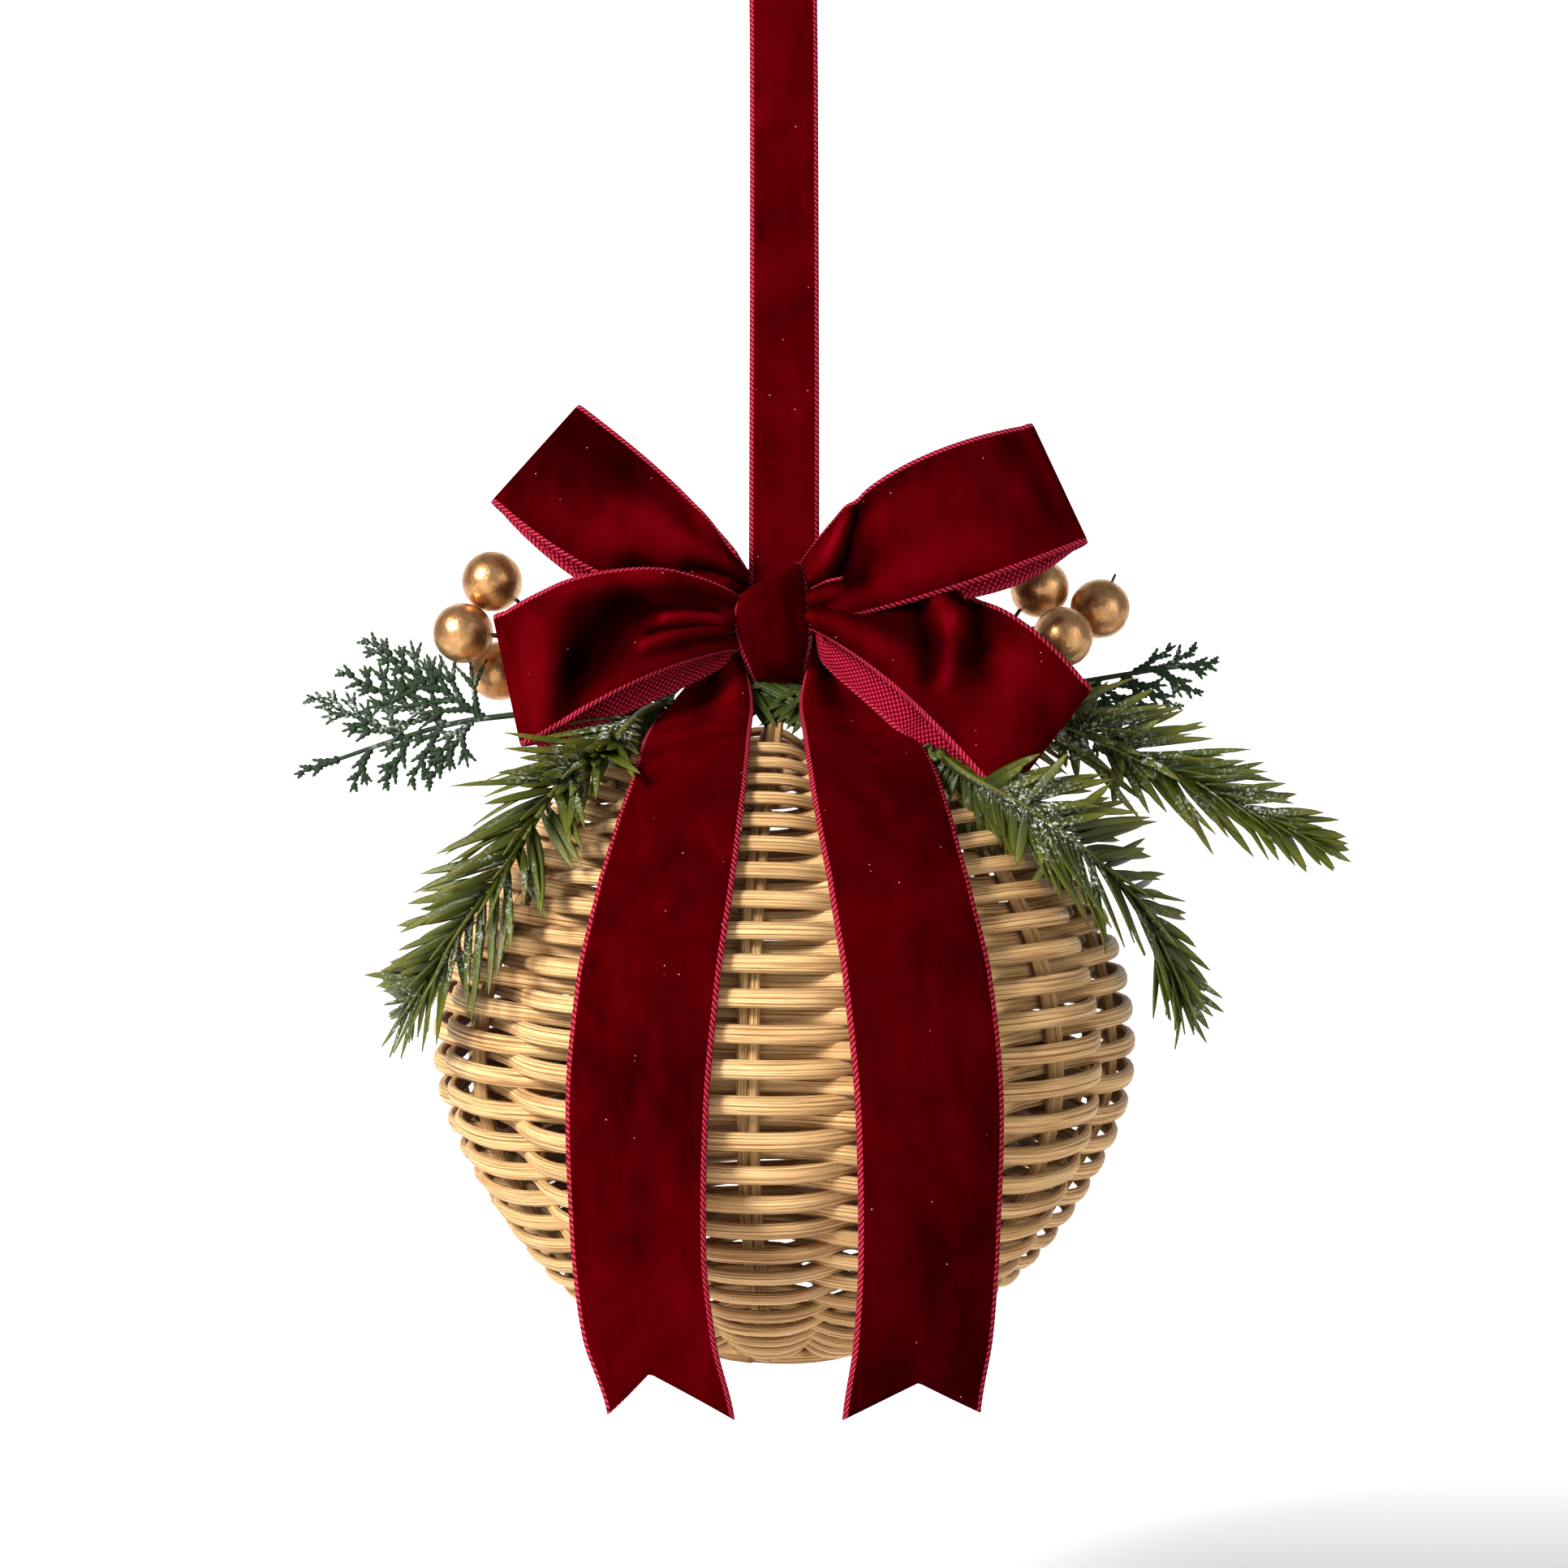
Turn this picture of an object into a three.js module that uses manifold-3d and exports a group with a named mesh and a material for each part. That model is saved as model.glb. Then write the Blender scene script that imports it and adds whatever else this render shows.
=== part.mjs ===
// Rattan bell ornament: a woven rattan ball that hangs on a velvet ribbon, dressed with a velvet
// bow, two long tails, sprigs of needles and cedar, and gold berries.
// Millimetres. X runs to the viewer's right, Y away from the viewer and Z up.
// The origin is the inside of the ribbon loop's top, where the ornament hangs. Heights in the
// tables below count up from the ball's widest row.

import * as THREE from 'three';
import { mergeVertices } from 'three/addons/utils/BufferGeometryUtils.js';
import Module from 'manifold-3d';

const wasm = await Module();
wasm.setup();

const { PI, sin, cos, tan, sqrt, min, max, hypot } = Math;
const degree = PI / 180;
const vec = (x, y, z) => new THREE.Vector3(x, y, z);
const clearance = 0.4; // free space between neighbouring pieces

// Woven ball
const hangingDrop = 266; // hanging point down to the widest row
const ballRadius = 85; // outside of the weave at the widest row
const ballRise = 84; // widest row up to where the crown would close
const ballFall = 76; // widest row down to the underside
const ballTilt = 9 * degree; // the bow's weight tips the ball's top towards the viewer
const flankHollow = 2.2; // how far the lower flank is drawn in
const flankHollowLatitude = 58 * degree; // lowest latitude of that hollow
const stakePairs = 6; // an odd number of stakes lets one weaver spiral in and out
const stakeCount = 2 * stakePairs + 1;
const stakeWidth = 5.2; // two reeds side by side
const stakeThickness = 2.2;
const firstStakeTurn = -5.6 * degree; // the front stake stands a little left of the middle
const weaverHeight = 3.45;
const weaverThickness = 2.6;
const rowGap = 0.35; // slit between one row of the weaver and the next
const weaveClearance = 0.62; // free space between the weaver and a stake that it passes
const poleShare = 0.6; // reed size that would be left at the poles, as a share of the full size
const weaverMiddleLatitude = 11 * degree; // a row that passes in front of the front stake
const weaverTopLatitude = 65.5 * degree;
const weaverBottomLatitude = -68 * degree;
const stakeBottomLatitude = -70.5 * degree;
const stakeShoulderLatitude = 70 * degree;
const stakeSteps = 14; // straight stretches of a stake round the ball

// Neck, where the stakes turn up under the bow
const neckRadius = 11.5; // middle of the stakes
const neckTop = 106;
const neckFoot = 86;
const neckCurve = 0.33; // how far the stakes still stand out halfway up the shoulder

// Coiled base that closes the underside
const baseThickness = 5;
const baseCoilDepth = 0.8;
const baseCoils = 4;
const roundSides = 16; // sides of the base's and the wrap's circles

// Velvet ribbons
const ribbonWidth = 32; // bow and tails
const ribbonThickness = 1;
const hangerWidth = 17;
const hangerInnerRadius = 5; // turn at the top of the hanging loop
const hangerFlat = 3; // half the flat part of that turn
// Each strand's distance from the middle at two shares of its height
const hangerStrand = [[0.24, 13.9], [0.62, 8.5]];
const wrapTop = 109; // band of ribbon round the neck
const wrapHeight = 18;
const wrapThickness = 3;

// Knot
const knotBack = 19.8; // distance of its back in front of the ball's axis
const knotDepth = 7.6;
const knotAcross = 5; // points across its face
const knotEdge = 0.12; // how round its sides are, 0 for round and 0.5 for square

// Bow loops: where the middle of the ribbon leaves the knot, its belly and its tip as [x, height],
// the direction of the ribbon's width at both ends, its seen width at the knot and the belly as
// shares of the ribbon's, how far each place lies in front of the ball's axis, how far the lower
// edge leans forward, and how far the rear layer hangs below the front one
const bowLoops = [
  {
    name: 'bow_loop_upper_left',
    root: [-13, 111.8], belly: [-32.5, 120.4], tip: [-59.9, 141.4],
    rootTurn: 70, tipTurn: 49.6, rootWidth: 0.28, bellyWidth: 0.84,
    rootDepth: 21, bellyDepth: 26, tipDepth: 21, lean: 2, rearDrop: 3.4,
  },
  {
    name: 'bow_loop_upper_right',
    root: [8, 110], belly: [31.8, 119.6], tip: [65.2, 132.1],
    rootTurn: 96, tipTurn: 112.9, rootWidth: 0.47, bellyWidth: 0.95,
    rootDepth: 28, bellyDepth: 41, tipDepth: 31, lean: 4, rearDrop: 3.4,
  },
  {
    name: 'bow_loop_lower_left',
    root: [-13, 101], belly: [-36.1, 97.4], tip: [-64.9, 85],
    rootTurn: 90, tipTurn: 102.8, rootWidth: 0.28, bellyWidth: 0.81,
    rootDepth: 26, bellyDepth: 38, tipDepth: 31, lean: 2, rearDrop: 3.4,
  },
  {
    name: 'bow_loop_lower_right',
    root: [9, 94.5], belly: [34.8, 91.8], tip: [63.2, 71.8],
    rootTurn: 80, tipTurn: 51.7, rootWidth: 0.28, bellyWidth: 0.875,
    rootDepth: 27, bellyDepth: 34, tipDepth: 37, lean: 20, rearDrop: 5,
  },
];
const loopFoldRadius = 3; // turn of the ribbon at a loop's tip
const loopRootGap = 4; // between the two layers where they leave the knot
const loopBellyGap = 8; // between them halfway along
const loopFrontSteps = 6;
const loopFoldSteps = 4;
const loopRearSteps = 4;
const gatherReach = 0.6; // share of a loop's length over which the ribbon spreads out
const loopAcross = 5; // points across the ribbon
const pleatDepth = 1.6; // half the depth of the pleats at the knot

// Tails: height, outer edge, inner edge and depth in front of the ball's axis of each station;
// where the depth is 0 the tail lies on the ball
const tailRest = 2.2; // from the ball's widest outline to the middle of the ribbon
const tails = [
  {
    name: 'tail_left',
    side: -1,
    stations: [
      [94.5, 15.5, 11.5, 19],
      [88, 20.5, 8.8, 23],
      [79, 27.9, 7.2, 32],
      [70, 31.2, 7.6, 0],
      [61, 33.8, 8.1, 0],
      [50, 36.7, 9.1, 0],
      [36, 40.2, 10.6, 0],
      [16, 44.2, 13.3, 0],
      [-12, 46.6, 15.8, 0],
      [-44, 45, 16.2, 0],
      [-62, 42.3, 14, 0],
    ],
    corners: [-77, 36.9, 10.2],
    notch: [-68, 28],
  },
  {
    name: 'tail_right',
    side: 1,
    stations: [
      [94.5, 11.5, 7.2, 19],
      [88, 15.5, 5.2, 23],
      [79, 19, 3.6, 32],
      [70, 27.5, 4.3, 0],
      [61, 32.2, 5.3, 0],
      [50, 36.2, 6.8, 0],
      [36, 40, 9.2, 0],
      [16, 44.4, 12.2, 0],
      [-12, 46.9, 14.9, 0],
      [-44, 45.6, 15.5, 0],
      [-62, 44, 14.4, 0],
    ],
    corners: [-77, 41.3, 12.1],
    notch: [-70, 27.9],
  },
];

// Needle sprigs: the stem's points over the ball as [degrees round from the front, degrees above
// the widest row, mm off the ball], the leaves' lengths at the root, in the middle and at the tip,
// how far they spread from the stem in degrees, and how much they face off the ball
const stemRadius = 1.1;
const stemSides = 5;
const needleWidth = 2.4;
const needleThickness = 1.1;
const leafWidest = 0.4; // share of a leaf's length at which it is widest
const lastLeafShare = 0.985; // place of the last leaf along the stem
const leafSway = 6; // degrees by which the spread differs from leaf to leaf
const leafLift = [4, 14]; // degrees by which the leaves rise from the stem's plane
const needleSprigs = [
  {
    name: 'needle_sprig_left',
    stem: [[-64, 68.5, 3.5], [-50.5, 60.5, 4.5], [-43, 49.5, 5.5], [-43.5, 38.5, 9],
      [-45, 26, 9.5], [-50, 17, 10.5], [-56.5, 9.5, 11], [-63.5, 5, 11]],
    leaves: 30, firstLeaf: 0.25, rootLength: 20, fullLength: 24, tipLength: 13, ballFacing: 0.6,
    rootSpread: 62, tipSpread: 34,
  },
  {
    name: 'needle_sprig_right_long',
    stem: [[49, 69, 3.5], [63.5, 60, 8.5], [72.5, 49.5, 16.5], [78, 39, 25.5],
      [80.5, 31.5, 33.5], [82.5, 25, 43], [84, 20.5, 52.5]],
    leaves: 28, firstLeaf: 0.4, rootLength: 20, fullLength: 21, tipLength: 9, ballFacing: 0.1,
    rootSpread: 40, tipSpread: 24,
  },
  {
    name: 'needle_sprig_right_low',
    stem: [[38, 52, 2], [39.5, 42.5, 4.5], [45, 35, 8], [54.5, 27.5, 9.5],
      [66.5, 20.5, 9.5], [71, 13, 10.5], [73, 6, 12.5]],
    leaves: 26, firstLeaf: 0.12, rootLength: 13, fullLength: 22, tipLength: 11, ballFacing: 0.6,
    rootSpread: 50, tipSpread: 30,
  },
];

// Cedar sprigs: the stem's points as [x, y, height], the places of the branches along it, their
// lengths, and how far they spread from it in degrees
const twigWidth = 1.9;
const cedarSprigs = [
  {
    name: 'cedar_sprig_left',
    stem: [[-27, -6, 87], [-45, -8, 82], [-63, -9, 79.5], [-79, -8, 77.5],
      [-94, -7, 73.5], [-109, -6, 68.5]],
    up: [0.52, 0.64, 0.78], down: [0.56, 0.76],
    upLength: 37, downLength: 20, endLength: 9, upSpread: 40, downSpread: 48,
  },
  {
    name: 'cedar_sprig_right',
    stem: [[27, 0, 86], [42, 1, 85], [60, 3, 86.5], [76, 5, 89.5],
      [91, 5, 92], [99, 5, 93]],
    up: [0.74], down: [0.4, 0.56, 0.7, 0.84],
    upLength: 11, downLength: 29, endLength: 8, upSpread: 24, downSpread: 40,
  },
];
const cedarTwigs = 2; // side shoots on each side of a branch
const shootSpread = 38; // degrees from the branch
const shootLength = 0.4; // share of the branch's length, for one at its foot
const branchShrink = 0.13; // by how much each branch is shorter than the one before

// A pair of smooth leaves tucked in under the knot
const smoothLeafLength = 27;
const smoothLeafWidth = 4;
const smoothLeafThickness = 1;
const smoothLeafDirections = [[23.5, -7, -6], [19.5, -19, -15]];
const smoothLeafFoot = [-7.5, -19, 84];

// Gold berries, as [x, y, height], and their wires
const berryRadius = 7.3;
const berries = {
  left: [[-71, -11, 111.6], [-77.6, -13, 98.6], [-70.6, 1.5, 91.4]],
  right: [[63, -2.5, 111.4], [77.6, -4.5, 106], [67.4, -13.5, 97.6]],
};
const wireRadius = 0.6;
const wireSides = 4;
const wireJoin = { left: [-52, -3, 98], right: [50, 0, 97.5] };
const wireRoot = { left: [-19, -3, 96], right: [19, 0, 96] };

// Colours
const finish = {
  rattan: [0xd2a467, 0.6, 0],
  stake: [0xc4935a, 0.65, 0],
  velvet: [0x6d0512, 0.9, 0],
  needle: [0x47602a, 0.6, 0],
  cedar: [0x33533f, 0.7, 0],
  berry: [0xb08a45, 0.35, 0.8],
  wire: [0x4a3a26, 0.6, 0.2],
};

// Shape helpers

function faceOutward(geometry) {
  const position = geometry.getAttribute('position');
  const index = geometry.getIndex().array;
  const corner = (k) => new THREE.Vector3().fromBufferAttribute(position, index[k]);
  let volume = 0;
  for (let k = 0; k < index.length; k += 3) {
    volume += corner(k).dot(corner(k + 1).cross(corner(k + 2)));
  }
  if (volume < 0) {
    for (let k = 0; k < index.length; k += 3) {
      [index[k + 1], index[k + 2]] = [index[k + 2], index[k + 1]];
    }
  }
  geometry.computeVertexNormals();
  return geometry;
}

function indexedBody(points, indices) {
  const geometry = new THREE.BufferGeometry();
  geometry.setAttribute(
    'position',
    new THREE.Float32BufferAttribute(points.flatMap((p) => [p.x, p.y, p.z]), 3),
  );
  geometry.setIndex(new THREE.Uint32BufferAttribute(indices, 1));
  return faceOutward(geometry);
}

// A closed body through a series of stations, each a front row and a back row of as many points
function loft(stations) {
  const across = stations[0].front.length;
  const ring = 2 * across;
  const points = stations.flatMap(({ front, back }) => [...front, ...[...back].reverse()]);
  const indices = [];
  const quad = (a, b, c, d) => indices.push(a, b, c, a, c, d);
  for (let s = 0; s + 1 < stations.length; s += 1) {
    for (let k = 0; k < ring; k += 1) {
      const next = (k + 1) % ring;
      quad(s * ring + k, s * ring + next, (s + 1) * ring + next, (s + 1) * ring + k);
    }
  }
  const last = (stations.length - 1) * ring;
  for (let k = 0; k + 1 < across; k += 1) {
    quad(k, ring - 1 - k, ring - 2 - k, k + 1);
    quad(last + k, last + k + 1, last + ring - 2 - k, last + ring - 1 - k);
  }
  return indexedBody(points, indices);
}

// A reed of rectangular section through frames that hold its centre, side and face directions
function reed(frames) {
  return loft(frames.map(({ centre, side, face, width, thickness }) => {
    const corner = (s, f) => centre.clone()
      .addScaledVector(side, (s * width) / 2)
      .addScaledVector(face, (f * thickness) / 2);
    return { front: [corner(-1, 1), corner(1, 1)], back: [corner(-1, -1), corner(1, -1)] };
  }));
}

// A sheet of even thickness over rows of points on its middle surface
function sheet(rows, thickness) {
  const at = (i, j) => rows[min(max(i, 0), rows.length - 1)][min(max(j, 0), rows[0].length - 1)];
  return loft(rows.map((row, i) => {
    const normals = row.map((_, j) => {
      const along = at(i + 1, j).clone().sub(at(i - 1, j));
      const across = at(i, j + 1).clone().sub(at(i, j - 1));
      return along.cross(across).normalize();
    });
    const shifted = (amount) => row.map((p, j) => p.clone().addScaledVector(normals[j], amount));
    return { front: shifted(thickness / 2), back: shifted(-thickness / 2) };
  }));
}

function tube(points, radius, sides, steps) {
  const outline = new THREE.Shape();
  for (let k = 0; k < sides; k += 1) {
    const turn = (2 * PI * k) / sides;
    outline[k ? 'lineTo' : 'moveTo'](radius * cos(turn), radius * sin(turn));
  }
  outline.closePath();
  const path = new THREE.CatmullRomCurve3(points);
  return new THREE.ExtrudeGeometry(outline, { steps, extrudePath: path, curveSegments: 1 });
}

// A leaf: pointed at both ends, widest before its middle, flat across its face direction
function leafBody({ base, direction, face, length, width, thickness }) {
  const side = direction.clone().cross(face).normalize();
  const rise = face.clone().addScaledVector(direction, -face.dot(direction)).normalize();
  const widest = base.clone().addScaledVector(direction, leafWidest * length);
  const points = [
    base.clone(),
    widest.clone().addScaledVector(side, width / 2),
    widest.clone().addScaledVector(rise, thickness / 2),
    widest.clone().addScaledVector(side, -width / 2),
    base.clone().addScaledVector(direction, length),
  ];
  const indices = [];
  for (let k = 0; k < 3; k += 1) {
    const a = 1 + k;
    const b = 1 + ((k + 1) % 3);
    indices.push(0, a, b, 4, b, a);
  }
  return indexedBody(points, indices);
}

function solid(geometry) {
  const plain = geometry.clone();
  plain.deleteAttribute('normal');
  plain.deleteAttribute('uv');
  const merged = mergeVertices(plain, 1e-4);
  return new wasm.Manifold(new wasm.Mesh({
    numProp: 3,
    vertProperties: new Float32Array(merged.getAttribute('position').array),
    triVerts: new Uint32Array(merged.getIndex().array),
  }));
}

function joined(geometries) {
  const mesh = wasm.Manifold.union(geometries.map(solid)).getMesh();
  const geometry = new THREE.BufferGeometry();
  geometry.setAttribute('position', new THREE.Float32BufferAttribute(mesh.vertProperties, 3));
  geometry.setIndex(new THREE.Uint32BufferAttribute(mesh.triVerts, 1));
  geometry.computeVertexNormals();
  return geometry;
}

const part = new THREE.Group();

function addPiece(name, geometry, [color, roughness, metalness]) {
  const material = new THREE.MeshStandardMaterial({ color, roughness, metalness });
  const mesh = new THREE.Mesh(geometry, material);
  mesh.name = name;
  part.add(mesh);
}

// Ball surface, before the ball is tipped

const level = (height) => height - hangingDrop;
const spot = ([x, y, height]) => vec(x, y, level(height));
const reedScale = (radius) => poleShare + ((1 - poleShare) * radius) / ballRadius;
const stakeTurn = (index) => firstStakeTurn + (2 * PI * index) / stakeCount;
const place = (radius, turn, z) => vec(radius * sin(turn), -radius * cos(turn), z);
const sideways = (turn) => vec(cos(turn), sin(turn), 0);
const tipped = (v, share = 1) => v.applyAxisAngle(vec(1, 0, 0), share * ballTilt);
const tippedBall = (geometry) => geometry.translate(0, 0, hangingDrop).rotateX(ballTilt)
  .translate(0, 0, -hangingDrop);

// How far the weaver's middle stands outside and inside the stakes where it passes them
function weaveOffsets(radius) {
  const scale = reedScale(radius);
  const halfWidth = (stakeWidth * scale) / 2;
  const span = radius * sin((2 * PI) / stakeCount);
  const bend = tan(PI / stakeCount);
  const offset = (slope) => (stakeThickness * scale) / 2 + weaveClearance
    + ((weaverThickness * scale) / 2) * hypot(1, slope) + halfWidth * slope;
  let outside = offset(bend);
  let inside = offset(0);
  for (let round = 0; round < 4; round += 1) {
    const climb = (outside + inside) / span;
    outside = offset(climb + bend);
    inside = offset(max(0, climb - bend));
  }
  return { outside, inside };
}

const wallInset = weaveOffsets(ballRadius).outside + weaverThickness / 2;
const wallRadius = ballRadius - wallInset;

function hollowAt(latitude) {
  if (latitude > 0 || latitude < -flankHollowLatitude) return 0;
  return flankHollow * sin((PI * latitude) / flankHollowLatitude) ** 2;
}

// The stakes' middle surface at a latitude, with its outward direction in the upright plane
function wallAt(latitude) {
  const height = (latitude > 0 ? ballRise : ballFall) - wallInset;
  const radiusAt = (angle) => wallRadius * cos(angle) - hollowAt(angle);
  const tiny = 1e-4;
  const out = height * cos(latitude);
  const up = (radiusAt(latitude - tiny) - radiusAt(latitude + tiny)) / (2 * tiny);
  const reach = hypot(out, up); // distance along the surface for one radian
  return {
    radius: radiusAt(latitude),
    z: level(height * sin(latitude)),
    out: out / reach,
    up: up / reach,
    reach,
  };
}

function outerRadiusAt(height) {
  const reach = height > 0 ? ballRise : ballFall;
  return ballRadius * sqrt(max(0, 1 - (height / reach) ** 2));
}

// Weaver: one reed that spirals down the ball, outside one stake and inside the next

function weaverLatitudes() {
  const step = (latitude) => {
    const wall = wallAt(latitude);
    return ((weaverHeight + rowGap) * reedScale(wall.radius)) / (stakeCount * wall.reach);
  };
  const above = [weaverMiddleLatitude];
  while (above[0] < weaverTopLatitude) above.unshift(above[0] + step(above[0]));
  const below = [];
  let latitude = weaverMiddleLatitude;
  while (latitude > weaverBottomLatitude) {
    latitude -= step(latitude);
    below.push(latitude);
  }
  return { latitudes: [...above, ...below], middle: above.length - 1 };
}

function weaverFrame(latitude, count) {
  const wall = wallAt(latitude);
  const turn = stakeTurn(count);
  const offsets = weaveOffsets(wall.radius);
  const offset = count % 2 === 0 ? offsets.outside : -offsets.inside;
  const scale = reedScale(wall.radius);
  const outward = place(wall.out, turn, wall.up);
  const upward = place(-wall.up, turn, wall.out);
  return {
    centre: place(wall.radius, turn, wall.z).addScaledVector(outward, offset),
    side: upward,
    face: outward,
    width: weaverHeight * scale,
    thickness: weaverThickness * scale,
  };
}

function weaver() {
  const { latitudes, middle } = weaverLatitudes();
  return reed(latitudes.map((latitude, k) => weaverFrame(latitude, k - middle)));
}

// Stakes: from the base round the ball, over the shoulder and up into the neck

function stakePath() {
  // Radius, height and how much of the tilt each point takes
  const path = [];
  for (let k = 0; k <= stakeSteps; k += 1) {
    const share = k / stakeSteps;
    const latitude = stakeBottomLatitude + share * (stakeShoulderLatitude - stakeBottomLatitude);
    const { radius, z } = wallAt(latitude);
    path.push([radius, z + hangingDrop, 1]);
  }
  const [shoulderRadius, shoulder] = path[path.length - 1];
  const bend = neckRadius + neckCurve * (shoulderRadius - neckRadius);
  path.push([bend, (shoulder + neckFoot) / 2, 0.5]);
  path.push([neckRadius, neckFoot, 0], [neckRadius, neckTop, 0]);
  return path;
}

function stake(turn) {
  const path = stakePath();
  return reed(path.map(([radius, height, share], k) => {
    const before = path[max(k - 1, 0)];
    const after = path[min(k + 1, path.length - 1)];
    const run = vec(after[0] - before[0], 0, after[1] - before[1]).normalize();
    const scale = reedScale(radius);
    const thickness = stakeThickness * scale;
    const room = 2 * (radius - thickness / 2) * tan(PI / stakeCount) - clearance;
    return {
      centre: tipped(place(radius, turn, height), share).add(vec(0, 0, level(0))),
      side: tipped(sideways(turn), share),
      face: tipped(place(run.z, turn, -run.x), share),
      width: min(stakeWidth * scale, room),
      thickness,
    };
  }));
}

function addBall() {
  addPiece('rattan_weaver', tippedBall(weaver()), finish.rattan);
  for (let k = 0; k < stakeCount; k += 1) {
    addPiece(`stake_${String(k + 1).padStart(2, '0')}`, stake(stakeTurn(k)), finish.stake);
  }
  addPiece('rattan_base', tippedBall(base()), finish.rattan);
}

// Base: a flat coil of reed whose turns show as ridges on the underside

function base() {
  const end = wallAt(stakeBottomLatitude);
  const rim = end.radius - clearance;
  const undersideAt = (radius) => {
    return level(-ballFall * sqrt(1 - (radius / ballRadius) ** 2));
  };
  const profile = [];
  for (let k = 0; k <= 2 * baseCoils; k += 1) {
    const radius = (rim * k) / (2 * baseCoils);
    profile.push([radius, undersideAt(radius) + (k % 2 ? 0 : baseCoilDepth)]);
  }
  profile.push([rim, undersideAt(rim) + baseThickness], [0, undersideAt(0) + baseThickness]);
  return turned(profile);
}

function turned(profile) {
  const points = profile.map(([radius, z]) => new THREE.Vector2(radius, z));
  const geometry = new THREE.LatheGeometry(points, roundSides);
  geometry.rotateX(PI / 2);
  return geometry;
}

// Hanging loop: both ends stand on the band that clamps them at the neck

const wrapInner = (neckRadius + (stakeThickness * reedScale(neckRadius)) / 2 + clearance)
  / cos(PI / roundSides);
const wrapOuter = wrapInner + wrapThickness;

function hanger() {
  const foot = wrapInner + wrapThickness / 2;
  const turnRadius = hangerInnerRadius + ribbonThickness / 2;
  const bottom = level(wrapTop) + clearance;
  const half = [[foot, bottom], ...hangerStrand.map(([share, y]) => [y, bottom * (1 - share)])];
  const turnSteps = 3;
  for (let k = 0; k <= turnSteps; k += 1) {
    const angle = (k / turnSteps) * (PI / 2);
    const reach = hangerFlat + (turnRadius - hangerFlat) * cos(angle);
    half.push([reach, ribbonThickness / 2 - turnRadius * (1 - sin(angle))]);
  }
  const path = [...half.map(([y, z]) => [-y, z]), ...[...half].reverse()];
  const rows = path.map(([y, z]) => [vec(-hangerWidth / 2, y, z), vec(hangerWidth / 2, y, z)]);
  return sheet(rows, ribbonThickness);
}

function neckWrap() {
  const top = level(wrapTop);
  const bottom = top - wrapHeight;
  const edge = wrapThickness / 3;
  return turned([
    [wrapInner, top],
    [wrapInner, bottom],
    [wrapOuter - edge, bottom],
    [wrapOuter, bottom + edge],
    [wrapOuter, top - edge],
    [wrapOuter - edge, top],
    [wrapInner, top],
  ]);
}

// Knot: a band of ribbon folded over, its upper edge rising to the right

function knot() {
  // Left and right side of each level as [x, height], and how far its face bulges
  const levels = [
    { left: [-9.6, 105.4], right: [3.6, 113.8], bulge: 0.5 },
    { left: [-11.4, 104], right: [5, 111.6], bulge: 0.85 },
    { left: [-12, 99], right: [5.6, 104], bulge: 1 },
    { left: [-10.4, 93.5], right: [6.2, 96], bulge: 0.95 },
    { left: [-8.2, 88.5], right: [4.8, 89.5], bulge: 0.75 },
    { left: [-6.9, 86.2], right: [3.7, 85.7], bulge: 0.45 },
  ];
  return loft(levels.map(({ left, right, bulge }) => {
    const front = [];
    const back = [];
    for (let k = 0; k < knotAcross; k += 1) {
      const share = k / (knotAcross - 1);
      const x = left[0] + share * (right[0] - left[0]);
      const z = level(left[1] + share * (right[1] - left[1]));
      const swell = sin(PI * (knotEdge + (1 - 2 * knotEdge) * share));
      front.push(vec(x, -knotBack - knotDepth * bulge * swell, z));
      back.push(vec(x, -knotBack, z));
    }
    return { front, back };
  }));
}

// Bow loops

function through([start, middle, end], share) {
  const bend = (k) => 2 * middle[k] - (start[k] + end[k]) / 2;
  const mix = (k) => (1 - share) ** 2 * start[k] + 2 * share * (1 - share) * bend(k)
    + share ** 2 * end[k];
  return start.map((_, k) => mix(k));
}

// A point of a loop: share runs from the knot to the tip and across from the lower edge to the
// upper; fold is 0 on the front layer, 1 on the rear one and between them round the tip
function loopPoint(loop, share, across, fold) {
  const tipTurn = loop.tipTurn * degree;
  const outward = [sin(tipTurn), -cos(tipTurn)];
  const side = Math.sign(outward[0] * loop.tip[0]);
  const tip = loop.tip.map((c, k) => c - side * outward[k] * loopFoldRadius);
  const [x, height] = through([loop.root, loop.belly, tip], share);
  const [depth] = through([[loop.rootDepth], [loop.bellyDepth], [loop.tipDepth]], share);
  const [width] = through([[loop.rootWidth], [loop.bellyWidth], [1]], share);
  const [gap] = through([[loopRootGap], [loopBellyGap], [2 * loopFoldRadius]], share);
  const turn = (loop.rootTurn + (loop.tipTurn - loop.rootTurn) * sin((share * PI) / 2)) * degree;
  const spread = sin((min(share / gatherReach, 1) * PI) / 2);
  const bulge = side * loopFoldRadius * sin(PI * fold);
  const drop = fold * loop.rearDrop * sin(PI * share);
  return vec(
    x + across * ribbonWidth * width * cos(turn) + bulge * outward[0],
    -depth + loop.lean * across * spread + (gap * (1 - cos(PI * fold))) / 2,
    level(height + across * ribbonWidth * width * sin(turn) + bulge * outward[1] - drop),
  );
}

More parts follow.
